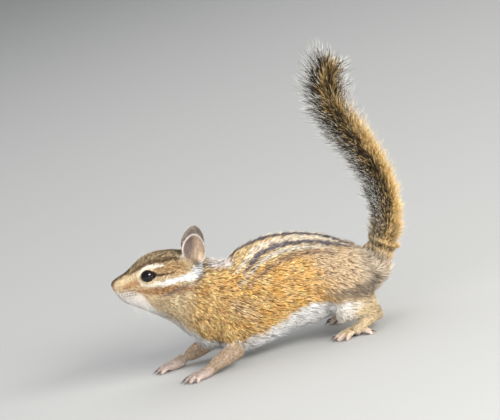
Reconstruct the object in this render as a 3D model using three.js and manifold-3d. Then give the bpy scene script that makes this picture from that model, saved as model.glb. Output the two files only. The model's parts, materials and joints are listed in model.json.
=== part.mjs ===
// A life-size chipmunk, crouched on four feet with its head stretched forward and its tail held up.
// Millimetres, +Z up. The animal faces -X, its left side is towards -Y, and it stands on z = 0.
import * as THREE from "three";
import { mergeVertices } from "three/addons/utils/BufferGeometryUtils.js";
import Module from "manifold-3d";

const wasm = await Module();
wasm.setup();

// Driving sizes
const SEAM = 0.3; // the thin cut between neighbouring pieces
const SOCKET = 0.5; // how much larger the hollow is that a leg sits in
const BODY_MIDDLE = 21.34; // from the shoulder, where lengths are counted from, back to the middle of the whole animal
const BODY_SIDES = 20;
const BODY_ROWS = 44;
const EYE = { radius: 3.7, x: -28.4, y: 6.1, z: 49.4 };
const NOSE = { x: -44.3, z: 47.5, long: 1.5, wide: 1.9, high: 1.9 };
const EAR = { x: -5.9, y: 8.4, z: 55.6, halfHeight: 7.3, halfWidth: 5.9, thickness: 1.1, cup: 3.2 };
const CLAW = { long: 2.7, root: 0.5, tip: 0.26 };
const LEFT = -1;
const RIGHT = 1;

// The head, neck and trunk as ribs across the middle plane: where each starts on the back and ends underneath,
// half its width, how high up it is widest, and how square its outline is.
const RIBS = [
  { at: "tip of snout", back: [-45.9, 47.9], under: [-45.9, 47.9], half: 0, widest: 0.5, square: 2 },
  { at: "nose pad", back: [-45.3, 49.6], under: [-45.4, 45.6], half: 1.9, widest: 0.5, square: 2 },
  { at: "lips", back: [-43.6, 50.7], under: [-44.1, 42.6], half: 3.2, widest: 0.45, square: 2 },
  { at: "muzzle", back: [-40.6, 51.6], under: [-42.2, 39.6], half: 4.7, widest: 0.42, square: 2 },
  { at: "whisker pad", back: [-37.3, 52.7], under: [-39.3, 37.3], half: 6.1, widest: 0.42, square: 2.1 },
  { at: "stop", back: [-33.9, 54.7], under: [-35.9, 35], half: 7.1, widest: 0.45, square: 2.2 },
  { at: "front of eye", back: [-30.4, 56.6], under: [-32, 32.3], half: 8, widest: 0.52, square: 2.3 },
  { at: "brow", back: [-26.4, 57.7], under: [-27.8, 29.2], half: 9.3, widest: 0.5, square: 2.3 },
  { at: "cheek", back: [-20.8, 57.8], under: [-23.8, 25.6], half: 10.9, widest: 0.46, square: 2.2 },
  { at: "ear", back: [-14, 56.3], under: [-20.8, 21.4], half: 11.9, widest: 0.44, square: 2.2 },
  { at: "back of head", back: [-7, 53], under: [-18.4, 17.4], half: 12.3, widest: 0.43, square: 2.2 },
  { at: "nape", back: [-0.8, 48.8], under: [-15.6, 13.2], half: 13.2, widest: 0.44, square: 2.2 },
  { at: "withers", back: [4.6, 46.4], under: [-10.6, 9], half: 14.6, widest: 0.45, square: 2.2 },
  { at: "shoulder blade", back: [9.6, 48.2], under: [-4, 5], half: 16, widest: 0.45, square: 2.2 },
  { at: "ribs", back: [16.6, 50.6], under: [5, 3], half: 17.3, widest: 0.44, square: 2.2 },
  { at: "top of back", back: [25.6, 51.4], under: [15, 4.3], half: 18.4, widest: 0.42, square: 2.2 },
  { at: "loin", back: [34.6, 50.4], under: [27, 6.2], half: 18.8, widest: 0.41, square: 2.2 },
  { at: "flank", back: [43.4, 48], under: [40, 7.3], half: 18.6, widest: 0.41, square: 2.2 },
  { at: "hips", back: [51.2, 44.4], under: [51, 8.6], half: 17.6, widest: 0.42, square: 2.2 },
  { at: "rump", back: [58.2, 39.8], under: [60.5, 10.4], half: 15.4, widest: 0.45, square: 2.1 },
  { at: "seat", back: [63.6, 35.8], under: [67.8, 14.2], half: 11.8, widest: 0.5, square: 2 },
  { at: "tail root", back: [67.6, 33.2], under: [73.2, 19.4], half: 7.6, widest: 0.5, square: 2 },
  { at: "inside tail", back: [73, 27], under: [73, 27], half: 0, widest: 0.5, square: 2 },
];
const TRUNK_NODES = ["head", "neck", "chest", "loins", "rump"];
const TRUNK_CUTS = ["back of head", "withers", "ribs", "flank"];

// The tail as points up its middle, half its breadth as seen from the side, and half its thickness across.
const TAIL = [
  { at: [67, 24], broad: 7, thick: 6 },
  { at: [72.6, 29.4], broad: 7.3, thick: 6.2 },
  { at: [77.6, 37.4], broad: 6.9, thick: 5.8 },
  { at: [80.4, 45.6], broad: 7, thick: 5.6 },
  { at: [81.2, 53.6], broad: 7.2, thick: 5.6 },
  { at: [80.7, 62], broad: 7.6, thick: 5.8 },
  { at: [78.6, 72], broad: 8.3, thick: 6 },
  { at: [75, 82.2], broad: 8.9, thick: 6.3 },
  { at: [71.2, 92.4], broad: 9.2, thick: 6.6 },
  { at: [69.2, 101], broad: 9.7, thick: 6.9 },
  { at: [70, 109.4], broad: 10.4, thick: 7.2 },
  { at: [72.6, 116], broad: 9.8, thick: 6.8 },
  { at: [75.2, 123.6], broad: 6, thick: 4.6 },
];
const TAIL_NODES = ["tail_lower", "tail_middle", "tail_upper", "tail_tip"];
const TAIL_CUTS = [0.12, 0.36, 0.56, 0.76]; // shares of the tail's length where it leaves the rump and is parted

// Each foreleg and hind leg as the middles of its pieces, with half widths and half heights, for the left side.
// reach moves the forepaw and the bones above it forward, as the right one is a step ahead.
const FORELEG = {
  upperArm: [
    { at: [2, 8.6, 26], wide: 6, high: 7.6 },
    { at: [0.6, 10.8, 19], wide: 6, high: 7.6 },
    { at: [0.6, 12.8, 11], wide: 5, high: 6 },
  ],
  forearm: [
    { at: [3.4, 13.4, 9.6], wide: 4.4, high: 4.6 },
    { at: [-5.4, 14.2, 6.4], wide: 3.8, high: 4 },
    { at: [-14, 14.8, 3.4], wide: 2.9, high: 2.7 },
  ],
  palm: [
    { at: [-11.4, 14.6, 3.8], wide: 2.4, high: 2.2 },
    { at: [-16, 15, 2.2], wide: 3.4, high: 2.2 },
    { at: [-20.6, 15.2, 1.4], wide: 3.8, high: 1.6 },
  ],
  toeRoots: [[-18.2, 12.8], [-19, 14.4], [-18.8, 16], [-17.6, 17.2]],
  toeTips: [[-24.2, 11.2], [-25.6, 14.4], [-24, 17.8], [-20.6, 20]],
  toe: { arch: 2.6, tipHeight: 0.85, root: 1.2, tip: 0.98 },
};
const HIND_LEG = {
  thigh: [
    { at: [65, 8.4, 30], wide: 6.4, high: 7.6 },
    { at: [58, 11.6, 26.4], wide: 8.2, high: 12 },
    { at: [50.6, 14, 21], wide: 7.2, high: 11 },
    { at: [44.4, 15, 16.6], wide: 5.6, high: 7.4 },
  ],
  shank: [
    { at: [45.4, 15.2, 13.4], wide: 5, high: 5.2 },
    { at: [55, 15.4, 11.8], wide: 4.4, high: 4.8 },
    { at: [65.4, 14.2, 9.2], wide: 3, high: 3 },
  ],
  sole: [
    { at: [66.4, 14, 7.4], wide: 2.4, high: 2.6 },
    { at: [59, 15.4, 5.2], wide: 2.9, high: 2.3 },
    { at: [50.4, 16.8, 1.5], wide: 4, high: 2 },
  ],
  toeRoots: [[52.8, 14.2], [51.6, 15.2], [51.2, 16.8], [51.8, 18.4], [54.8, 18.2]],
  toeTips: [[46, 10.8], [42.6, 14], [43.6, 17.8], [47.2, 20.6], [59.4, 21.2]],
  toe: { arch: 2.9, tipHeight: 0.85, root: 1.25, tip: 1 },
};
const STEP_AHEAD = { left: 0, right: 12 }; // how far each forepaw is ahead of the left one

const COLOURS = {
  crown: 0x7d5f3b,
  tawny: 0xb07b3e,
  grizzled: 0x8f7a60,
  tail: 0x6f5230,
  tailDark: 0x4a3a27,
  ear: 0xa08a72,
  skin: 0xc9a795,
  nose: 0xb79a93,
  claw: 0x4a3f38,
  eye: 0x0b0908,
};

function material(colour, roughness = 0.85) {
  return new THREE.MeshStandardMaterial({ color: colour, roughness, metalness: 0 });
}

// Turns a geometry into a solid that can be joined and cut.
function solid(geometry) {
  const bare = geometry.clone();
  bare.deleteAttribute("normal");
  bare.deleteAttribute("uv");
  const merged = mergeVertices(bare, 1e-4);
  const vertProperties = merged.attributes.position.array;
  const triVerts = new Uint32Array(merged.index.array);
  if (signedVolume(vertProperties, triVerts) < 0) {
    for (let i = 0; i < triVerts.length; i += 3) {
      [triVerts[i + 1], triVerts[i + 2]] = [triVerts[i + 2], triVerts[i + 1]];
    }
  }
  return new wasm.Manifold(new wasm.Mesh({ numProp: 3, vertProperties, triVerts }));
}

// The volume inside triangles that face outward, which is negative when they face inward.
function signedVolume(points, triangles) {
  const corner = (index) => new THREE.Vector3().fromArray(points, triangles[index] * 3);
  let volume = 0;
  for (let i = 0; i < triangles.length; i += 3) {
    volume += corner(i).dot(corner(i + 1).cross(corner(i + 2))) / 6;
  }
  return volume;
}

// Keeps the largest of the closed bodies in a list of triangles, as a cut can leave crumbs beside it.
function largestBody(points, triangles) {
  const parent = Array.from({ length: points.length / 3 }, (_, i) => i);
  const find = (i) => {
    while (parent[i] !== i) i = parent[i];
    return i;
  };
  for (let i = 0; i < triangles.length; i += 3) {
    parent[find(triangles[i + 1])] = find(triangles[i]);
    parent[find(triangles[i + 2])] = find(triangles[i]);
  }
  const bodies = new Map();
  for (let i = 0; i < triangles.length; i += 3) {
    const key = find(triangles[i]);
    if (!bodies.has(key)) bodies.set(key, []);
    bodies.get(key).push(...triangles.subarray(i, i + 3));
  }
  const sorted = [...bodies.values()].sort((a, b) => signedVolume(points, b) - signedVolume(points, a));
  return new Uint32Array(sorted[0]);
}

// Turns a solid into a named mesh of the model.
function named(name, made, look) {
  const raw = made.getMesh();
  const points = new Float32Array(raw.numVert * 3);
  for (let i = 0; i < raw.numVert; i++) {
    points.set(raw.vertProperties.subarray(i * raw.numProp, i * raw.numProp + 3), i * 3);
  }
  const geometry = new THREE.BufferGeometry();
  geometry.setAttribute("position", new THREE.BufferAttribute(points, 3));
  geometry.setIndex(new THREE.BufferAttribute(largestBody(points, raw.triVerts), 1));
  geometry.computeVertexNormals();
  const mesh = new THREE.Mesh(geometry, look);
  mesh.name = name;
  return mesh;
}

// Reshapes a sphere: placeAt(along, around) says where each of its vertices goes, along from pole to pole.
function shapedSphere(sides, rows, placeAt) {
  const geometry = new THREE.SphereGeometry(1, sides, rows);
  const position = geometry.attributes.position;
  const old = new THREE.Vector3();
  for (let i = 0; i < position.count; i++) {
    old.fromBufferAttribute(position, i);
    const row = Math.floor(i / (sides + 1));
    const column = i % (sides + 1);
    const place = placeAt(row / rows, ((column % sides) / sides) * 2 * Math.PI, old);
    position.setXYZ(i, place.x, place.y, place.z);
  }
  return solid(geometry);
}

// A curve through any three numbers of a list's entries.
function through(list, pick) {
  return new THREE.CatmullRomCurve3(list.map((entry) => new THREE.Vector3(...pick(entry))));
}

const roundedPower = (value, power) => Math.sign(value) * Math.abs(value) ** power;

// Head, neck and trunk in one piece.
function trunkBody(grow = 0) {
  const back = through(RIBS, (rib) => [rib.back[0], 0, rib.back[1]]);
  const under = through(RIBS, (rib) => [rib.under[0], 0, rib.under[1]]);
  const form = through(RIBS, (rib) => [rib.half, rib.widest, rib.square]);
  return shapedSphere(BODY_SIDES, BODY_ROWS, (along, around) => {
    const high = back.getPoint(along);
    const low = under.getPoint(along);
    const { x: half, y: widest, z: square } = form.getPoint(along);
    const waist = low.clone().lerp(high, widest);
    const end = Math.cos(around) > 0 ? high : low;
    const reach = Math.abs(Math.cos(around)) ** (2 / square);
    const across = roundedPower(Math.sin(around), 2 / square) * Math.max(half, 0);
    const place = waist.clone().lerp(end, reach);
    place.y = across;
    const out = place.clone().sub(waist);
    if (grow && out.length() > 0.01) place.add(out.normalize().multiplyScalar(grow));
    return place;
  });
}

// A rounded limb through a list of middles, with a half width and a half height at each.
function limb(stations, { side = 1, sides, rows, cap = 0.125, grow = 0, ahead = 0 }) {
  const middle = through(stations, ({ at }) => [at[0] - ahead, side * at[1], at[2]]);
  const size = through(stations, ({ wide, high }) => [wide + grow, high + grow, 0]);
  const sideways = new THREE.Vector3(0, 1, 0);
  return shapedSphere(sides, rows, (along, around) => {
    const fromEnd = Math.min(along, 1 - along);
    const round = fromEnd < cap ? Math.sqrt(1 - (1 - fromEnd / cap) ** 2) : 1;
    const place = middle.getPoint(along);
    const forward = middle.getTangent(along);
    const above = new THREE.Vector3().crossVectors(sideways, forward).normalize();
    const across = new THREE.Vector3().crossVectors(forward, above);
    const { x: wide, y: high } = size.getPoint(along);
    place.addScaledVector(across, wide * Math.cos(around) * round);
    place.addScaledVector(above, high * Math.sin(around) * round);
    if (grow) place.addScaledVector(forward, along < 0.5 ? -grow * (1 - round) : grow * (1 - round));
    return place;
  });
}

// The half space beyond a plane across the middle plane, as one large block.
function beyond(point, normal) {
  const size = 400;
  const block = new THREE.BoxGeometry(size, size, size);
  const turn = new THREE.Quaternion().setFromUnitVectors(new THREE.Vector3(1, 0, 0), normal);
  const middle = point.clone().addScaledVector(normal, size / 2 + SEAM / 2);
  block.applyMatrix4(new THREE.Matrix4().compose(middle, turn, new THREE.Vector3(1, 1, 1)));
  return solid(block);
}

// Cuts a solid into a row of pieces at planes, each a point and the direction towards the next piece.
function parted(whole, planes) {
  const pieces = [];
  for (let i = 0; i <= planes.length; i++) {
    let piece = whole;
    if (i > 0) piece = piece.intersect(beyond(planes[i - 1].point, planes[i - 1].onward));
    if (i < planes.length) {
      piece = piece.intersect(beyond(planes[i].point, planes[i].onward.clone().negate()));
    }
    pieces.push(piece);
  }
  return pieces;
}

function ribPlane(name) {
  const rib = RIBS.find((each) => each.at === name);
  const back = new THREE.Vector3(rib.back[0], 0, rib.back[1]);
  const under = new THREE.Vector3(rib.under[0], 0, rib.under[1]);
  const down = under.clone().sub(back);
  const onward = new THREE.Vector3(-down.z, 0, down.x).normalize();
  return { point: back.lerp(under, 0.5), onward };
}

function ball(centre, radii, sides, rows) {
  return shapedSphere(sides, rows, (along, around, old) =>
    new THREE.Vector3(
      centre[0] + old.x * radii[0],
      centre[1] + old.y * radii[1],
      centre[2] + old.z * radii[2],
    ),
  );
}

const eyeball = (side, grow = 0) =>
  ball([EYE.x, side * EYE.y, EYE.z], Array(3).fill(EYE.radius + grow), 12, 8);

const nosePad = (grow = 0) =>
  ball([NOSE.x, 0, NOSE.z], [NOSE.long + grow, NOSE.wide + grow, NOSE.high + grow], 8, 6);

// One ear: a flattened sphere whose middle is pushed back into a cup that opens forward and outward.
function pinna(side) {
  const up = new THREE.Vector3(0.36, side * 0.1, 0.93).normalize();
  const opening = new THREE.Vector3(-0.42, side * 0.88, 0.02);
  opening.addScaledVector(up, -opening.dot(up)).normalize();
  const across = new THREE.Vector3().crossVectors(up, opening);
  return shapedSphere(14, 10, (along, around, old) => {
    const egg = 1 - 0.16 * old.y;
    const depth = -EAR.cup * old.z ** 2 + roundedPower(old.z, 0.5) * (EAR.thickness / 2);
    return new THREE.Vector3(EAR.x, side * EAR.y, EAR.z)
      .addScaledVector(across, old.x * EAR.halfWidth * egg)
      .addScaledVector(up, old.y * EAR.halfHeight)
      .addScaledVector(opening, depth);
  });
}

// A toe from its root to its tip, arched over its knuckle.
function toe(leg, index, side, ahead) {
  const [rootX, rootY] = leg.toeRoots[index];
  const [tipX, tipY] = leg.toeTips[index];
  const { arch, tipHeight, root, tip } = leg.toe;
  const share = (from, to, part) => from + (to - from) * part;
  const stations = [
    { at: [rootX, rootY, arch * 0.85], wide: root, high: root },
    { at: [share(rootX, tipX, 0.5), share(rootY, tipY, 0.5), arch * 0.8], wide: root * 0.92, high: root * 0.92 },
    { at: [share(rootX, tipX, 0.85), share(rootY, tipY, 0.85), tipHeight], wide: tip, high: tip },
    { at: [tipX, tipY, tipHeight], wide: tip * 0.9, high: tip * 0.9 },
  ];
  return limb(stations, { side, ahead, sides: 5, rows: 6, cap: 0.167 });
}

// A claw that leaves the toe's tip, arches over and points down.
function claw(leg, index, side, ahead, grow = 0) {
  const [rootX, rootY] = leg.toeRoots[index];
  const [tipX, tipY] = leg.toeTips[index];
  const length = Math.hypot(tipX - rootX, tipY - rootY);
  const forward = [(tipX - rootX) / length, (tipY - rootY) / length];
  const station = (reach, height, radius) => ({
    at: [tipX + forward[0] * reach, tipY + forward[1] * reach, height],
    wide: radius,
    high: radius * 1.2,
  });
  const { long, root, tip } = CLAW;
  const stations = [
    station(-0.45, leg.toe.tipHeight + 0.35, root),
    station(long * 0.38, leg.toe.tipHeight + 0.45, root * 0.9),
    station(long * 0.8, leg.toe.tipHeight - 0.35, tip),
  ];
  return limb(stations, { side, ahead, sides: 4, rows: 4, cap: 0.25, grow });
}

// Everything above the floor, as one large block.
function aboveFloor() {
  const size = 400;
  const block = new THREE.BoxGeometry(size, size, size);
  block.translate(0, 0, size / 2);
  return solid(block);
}

// A paw: its sole and toes joined, flat where it stands, with a small socket for each claw.
function paw(leg, sole, side, ahead) {
  let made = limb(sole, { side, ahead, sides: 8, rows: 8 });
  leg.toeRoots.forEach((_, i) => {
    made = made.add(toe(leg, i, side, ahead));
  });
  leg.toeRoots.forEach((_, i) => {
    made = made.subtract(claw(leg, i, side, ahead, SEAM));
  });
  return made.intersect(aboveFloor());
}

function addLeg(group, { leg, names, lists, side, word, ahead, looks }) {
  const upperShape = { side, ahead: ahead[0], rows: 8, sides: 10 };
  const lowerShape = { side, ahead: ahead[1], rows: 8, sides: 8 };
  const upper = limb(lists[0], upperShape);
  const upperGrown = limb(lists[0], { ...upperShape, grow: SOCKET });
  const lower = limb(lists[1], lowerShape).subtract(upperGrown);
  const lowerGrown = limb(lists[1], { ...lowerShape, grow: SOCKET });
  const foot = paw(leg, lists[2], side, ahead[2]).subtract(lowerGrown).subtract(upperGrown);
  const [upperName, lowerName, footName] = names;
  group.add(named(`${upperName}_${word}`, upper, looks[0]));
  group.add(named(`${lowerName}_${word}`, lower, looks[1]));
  group.add(named(`${footName}_${word}`, foot, looks[2]));
  leg.toeRoots.forEach((_, i) => {
    group.add(named(`claw_${footName}_${word}_${i + 1}`, claw(leg, i, side, ahead[2]), looks[3]));
  });
  return upperGrown.add(lowerGrown);
}

function tailWhole() {
  const stations = TAIL.map(({ at, broad, thick }) => ({ at: [at[0], 0, at[1]], wide: thick, high: broad }));
  return limb(stations, { sides: 12, rows: 24, cap: 0.083 });
}

function tailPlanes() {
  const middle = through(TAIL, ({ at }) => [at[0], 0, at[1]]);
  return TAIL_CUTS.map((share) => ({ point: middle.getPoint(share), onward: middle.getTangent(share) }));
}

const chipmunk = new THREE.Group();
const looks = Object.fromEntries(Object.entries(COLOURS).map(([key, colour]) => [key, material(colour)]));
looks.eye.roughness = 0.08;
looks.claw.roughness = 0.4;

let sockets = null;
for (const [side, word] of [[LEFT, "left"], [RIGHT, "right"]]) {
  const step = STEP_AHEAD[word];
  const foreleg = addLeg(chipmunk, {
    leg: FORELEG,
    names: ["upper_arm", "forearm", "forepaw"],
    lists: [FORELEG.upperArm, FORELEG.forearm, FORELEG.palm],
    side,
    word,
    ahead: [step * 0.35, step * 0.85, step],
    looks: [looks.tawny, looks.tawny, looks.skin, looks.claw],
  });
  const hindLeg = addLeg(chipmunk, {
    leg: HIND_LEG,
    names: ["thigh", "shank", "hind_foot"],
    lists: [HIND_LEG.thigh, HIND_LEG.shank, HIND_LEG.sole],
    side,
    word,
    ahead: [0, 0, 0],
    looks: [looks.grizzled, looks.grizzled, looks.skin, looks.claw],
  });
  sockets = sockets ? sockets.add(foreleg).add(hindLeg) : foreleg.add(hindLeg);
  chipmunk.add(named(`ear_${word}`, pinna(side).subtract(trunkBody(SEAM)), looks.ear));
  chipmunk.add(named(`eye_${word}`, eyeball(side), looks.eye));
  sockets = sockets.add(eyeball(side, SEAM));
}
chipmunk.add(named("nose", nosePad(), looks.nose));
sockets = sockets.add(nosePad(SEAM));

const [trunk] = parted(trunkBody().add(tailWhole()), tailPlanes().slice(0, 1));
const [, ...tailPieces] = parted(tailWhole(), tailPlanes());
const trunkLooks = [looks.crown, looks.tawny, looks.tawny, looks.tawny, looks.grizzled];
parted(trunk.subtract(sockets), TRUNK_CUTS.map(ribPlane)).forEach((piece, i) => {
  chipmunk.add(named(TRUNK_NODES[i], piece, trunkLooks[i]));
});
tailPieces.forEach((piece, i) => {
  chipmunk.add(named(TAIL_NODES[i], piece, i < 2 ? looks.tail : looks.tailDark));
});

chipmunk.position.x = -BODY_MIDDLE;
export default chipmunk;
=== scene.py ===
"""A life-size chipmunk on four feet, in its coat, built around the fixed frame of its solids.

The animal faces -X and its left side is towards -Y. Inside this script a place on the animal is in
millimetres from a point on the floor under its shoulder, and a marking is placed by how far back it
is and how high it shows from the side.
"""

from __future__ import annotations

import json
import logging
import math
from collections.abc import Iterator
from contextlib import contextmanager
from dataclasses import dataclass, field
from enum import Enum

import bpy
import numpy as np
from mathutils import Matrix, Vector
from mathutils.bvhtree import BVHTree

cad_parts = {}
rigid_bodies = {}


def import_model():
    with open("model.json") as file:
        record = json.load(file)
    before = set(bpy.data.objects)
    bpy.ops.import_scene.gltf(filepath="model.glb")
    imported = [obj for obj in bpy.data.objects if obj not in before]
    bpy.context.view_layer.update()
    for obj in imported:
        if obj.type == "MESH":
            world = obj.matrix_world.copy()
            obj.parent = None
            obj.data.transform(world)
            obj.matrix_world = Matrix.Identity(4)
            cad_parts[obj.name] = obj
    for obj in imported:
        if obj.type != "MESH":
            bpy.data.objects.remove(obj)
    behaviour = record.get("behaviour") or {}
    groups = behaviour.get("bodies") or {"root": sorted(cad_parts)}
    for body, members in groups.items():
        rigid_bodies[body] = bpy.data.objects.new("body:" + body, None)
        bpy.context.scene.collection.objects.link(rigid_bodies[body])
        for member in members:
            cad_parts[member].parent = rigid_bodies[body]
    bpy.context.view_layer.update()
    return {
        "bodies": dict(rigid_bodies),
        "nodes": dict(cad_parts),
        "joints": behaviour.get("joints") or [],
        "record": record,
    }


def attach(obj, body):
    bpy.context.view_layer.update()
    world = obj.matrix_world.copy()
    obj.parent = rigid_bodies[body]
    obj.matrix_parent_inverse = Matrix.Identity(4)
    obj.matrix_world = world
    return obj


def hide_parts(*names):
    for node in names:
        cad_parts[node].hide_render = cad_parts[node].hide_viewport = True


LOG = logging.getLogger("chipmunk")
Array = np.ndarray

MM = 0.001
SHOULDER = 21.34  # how far the shoulder is ahead of the middle of the whole animal
LOOK_DOWN = math.radians(12)  # how far the view looks down on the animal
ROLL = math.radians(16)  # how far the view is rolled, so that the floor rises to the right


class Region(Enum):
    """The parts of the body that differ in the depth and length of their coat."""

    HEAD = 0
    NECK = 1
    CHEST = 2
    LOINS = 3
    RUMP = 4
    TAIL = 5
    EAR = 6
    NOSE = 7
    UPPER_ARM = 8
    FOREARM = 9
    FOREPAW = 10
    THIGH = 11
    SHANK = 12
    HIND_FOOT = 13


@dataclass(frozen=True)
class CoatKind:
    """How the coat of one region grows.

    depth is how far the skin lies inside the coat, length the length of a tuft, density the tufts on
    a square millimetre, width a tuft's width at its root and lift the angle at which it leaves the
    skin. Sizes are in millimetres and the angle in degrees.
    """

    depth: float
    length: float
    density: float
    width: float
    lift: float


COATS: dict[Region, CoatKind] = {
    Region.HEAD: CoatKind(0.6, 2.0, 10.7, 0.24, 20),
    Region.NECK: CoatKind(1.6, 3.5, 7.1, 0.32, 22),
    Region.CHEST: CoatKind(1.8, 4.0, 6.1, 0.35, 22),
    Region.LOINS: CoatKind(1.9, 4.1, 6.1, 0.35, 21),
    Region.RUMP: CoatKind(2.0, 4.4, 6.1, 0.36, 22),
    Region.TAIL: CoatKind(0.0, 8.0, 16.5, 0.27, 46),
    Region.EAR: CoatKind(0.0, 0.85, 11.0, 0.16, 24),
    Region.NOSE: CoatKind(0.0, 0.75, 16.0, 0.14, 18),
    Region.UPPER_ARM: CoatKind(1.4, 3.4, 7.0, 0.34, 24),
    Region.FOREARM: CoatKind(0.4, 1.6, 11.0, 0.21, 17),
    Region.FOREPAW: CoatKind(0.0, 1.1, 13.0, 0.17, 17),
    Region.THIGH: CoatKind(1.7, 4.3, 6.2, 0.36, 22),
    Region.SHANK: CoatKind(0.3, 2.9, 9.0, 0.28, 22),
    Region.HIND_FOOT: CoatKind(0.0, 1.1, 13.0, 0.17, 17),
}


def table(pick: str) -> Array:
    """One number of every region's coat, in the regions' order."""
    return np.array([getattr(COATS[region], pick) for region in Region])


def srgb(red: float, green: float, blue: float) -> Array:
    """A colour as seen, from 0 to 255, turned into the light it sends back."""
    seen = np.array([red, green, blue]) / 255.0
    return np.where(seen <= 0.04045, seen / 12.92, ((seen + 0.055) / 1.055) ** 2.4)


UNDERCOAT = srgb(122, 98, 80)
TAWNY = srgb(226, 173, 100)
TAWNY_PALE = srgb(244, 216, 168)
OCHRE_TAN = srgb(222, 194, 148)
SHOULDER_TAN = srgb(230, 188, 128)
NAPE_GREY = srgb(238, 230, 230)
HAUNCH = srgb(224, 196, 160)
RUMP_GREY = srgb(222, 206, 186)
HAUNCH_LOW = srgb(120, 110, 97)
MAUVE = srgb(206, 176, 140)
WHITE = srgb(250, 249, 248)
BELLY_SHADE = srgb(236, 232, 228)
CREAM = srgb(216, 206, 190)
STRIPE_TAN = srgb(242, 226, 206)
STRIPE_DARK = srgb(94, 93, 110)
STRIPE_BROWN = srgb(154, 128, 106)
CROWN = srgb(174, 152, 118)
CROWN_DARK = srgb(52, 40, 31)
BROW = srgb(104, 74, 46)
RUST = srgb(184, 146, 100)
CHEEK_BROWN = srgb(170, 126, 82)
CHEEK_TAN = srgb(220, 194, 157)
MUZZLE_CREAM = srgb(232, 210, 174)
MUZZLE_ORANGE = srgb(194, 152, 106)
LIP = srgb(244, 236, 228)
NOSE_PINK = srgb(150, 122, 118)
NOSE_DARK = srgb(40, 30, 26)
EYE_LINE = srgb(34, 26, 22)
EYE_RING = srgb(252, 242, 224)
EAR_INSIDE = srgb(238, 212, 184)
EAR_SHADE = srgb(116, 100, 98)
EAR_BACK = srgb(124, 114, 104)
EAR_RIM = srgb(246, 234, 226)
PAW = srgb(212, 194, 182)
PAW_PINK = srgb(222, 200, 190)
FOOT_FUR = srgb(238, 214, 170)
TAIL_OCHRE = srgb(233, 190, 112)
TAIL_TAN = srgb(206, 176, 124)
TAIL_BROWN = srgb(96, 74, 50)
TAIL_PALE = srgb(238, 206, 150)
BLACK = srgb(34, 29, 27)
FROST = srgb(236, 232, 222)
EYE_BLACK = srgb(14, 12, 14)
IRIS = srgb(46, 28, 20)
CLAW_TIP = srgb(120, 108, 100)
CLAW_ROOT = srgb(58, 50, 48)
WHISKER = srgb(214, 204, 192)


def unit(vectors: Array) -> Array:
    """The vectors at length one."""
    return vectors / np.maximum(np.linalg.norm(vectors, axis=-1, keepdims=True), 1e-9)


def rise(low: float, high: float, value: Array) -> Array:
    """A smooth rise from 0 at low to 1 at high."""
    share = np.clip((value - low) / (high - low), 0.0, 1.0)
    return share * share * (3.0 - 2.0 * share)


def fall(low: float, high: float, value: Array) -> Array:
    """A smooth fall from 1 at low to 0 at high."""
    return 1.0 - rise(low, high, value)


def mix(below: Array, above: Array, cover: Array) -> Array:
    """The lower colours with the upper ones laid over them by a cover from 0 to 1."""
    return below + (above - below) * np.asarray(cover)[..., None]


@dataclass(frozen=True)
class Noise:
    """Smooth noise in space, with the size of its patches in millimetres and the seed it starts from."""

    size: float
    seed: int
    waves: int = 8

    def at(self, places: Array) -> Array:
        """The noise at points.

        Args:
            places: points, one to a row.

        Returns:
            A number about between -1 and 1 for each point.
        """
        rng = np.random.default_rng(self.seed)
        total = np.zeros(len(places))
        for direction in unit(rng.normal(size=(self.waves, 3))):
            pitch = 2.0 * math.pi / self.size * rng.uniform(0.6, 1.5)
            total += np.sin(places @ direction * pitch + rng.uniform(0.0, 2.0 * math.pi))
        return total / math.sqrt(self.waves)


BODY_BLOTCHES = Noise(7.0, 11)
BODY_EDGES = Noise(3.2, 12)
BELLY_BLOTCHES = Noise(4.0, 14)
FACE_EDGES = Noise(2.4, 21)
LIMB_BLOTCHES = Noise(2.5, 31)
HEAD_EDGE = Noise(3.0, 32)
SHANK_EDGE = Noise(2.6, 33)
EAR_FUR = Noise(2.2, 34)
LONG_AND_SHORT = Noise(5.0, 41)
BROAD_STRAY = Noise(6.0, 51)
FINE_STRAY = Noise(2.2, 52)
FINE_SPECKLE = Noise(1.7, 61)
BROAD_SPECKLE = Noise(5.0, 62)


def side_view(places: Array) -> tuple[Array, Array]:
    """Where points show from the side, on either side of the animal.

    Args:
        places: points in animal millimetres.

    Returns:
        How far back and how high each one shows.
    """
    high = places[:, 2] * math.cos(LOOK_DOWN) - np.abs(places[:, 1]) * math.sin(LOOK_DOWN)
    return places[:, 0], high


@dataclass(frozen=True)
class Trail:
    """A marking that follows a line, each of its points being (back, height, half width)."""

    points: tuple[tuple[float, float, float], ...]
    soft: float = 0.6

    def cover(self, back: Array, high: Array) -> Array:
        """How far the marking covers each place.

        Args:
            back: how far back each place is.
            high: how high it shows.

        Returns:
            From 0, outside, to 1, inside.
        """
        best = np.full(len(back), 1e9)
        for (x0, y0, w0), (x1, y1, w1) in zip(self.points, self.points[1:]):
            run = np.array([x1 - x0, y1 - y0])
            share = ((back - x0) * run[0] + (high - y0) * run[1]) / max(float(run @ run), 1e-9)
            share = np.clip(share, 0.0, 1.0)
            gap = np.hypot(back - x0 - share * run[0], high - y0 - share * run[1])
            best = np.minimum(best, gap - (w0 + (w1 - w0) * share))
        return fall(-self.soft, self.soft, best)


@dataclass(frozen=True)
class Line:
    """A line across the side view that divides what is above it from what is below."""

    points: tuple[tuple[float, float], ...]

    def above(self, back: Array, high: Array, soft: Array | float) -> Array:
        """How far places are above the line.

        Args:
            back: how far back each place is.
            high: how high it shows.
            soft: how blurred the line is.

        Returns:
            From 0 below the line to 1 above it.
        """
        places = np.array(self.points)
        edge = np.interp(back, places[:, 0], places[:, 1])
        return rise(-soft, soft, high - edge)

    def behind(self, back: Array, high: Array, soft: Array | float) -> Array:
        """The same for a line given as (height, back): from 0 ahead of it to 1 behind it."""
        return self.above(high, back, soft)


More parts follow.
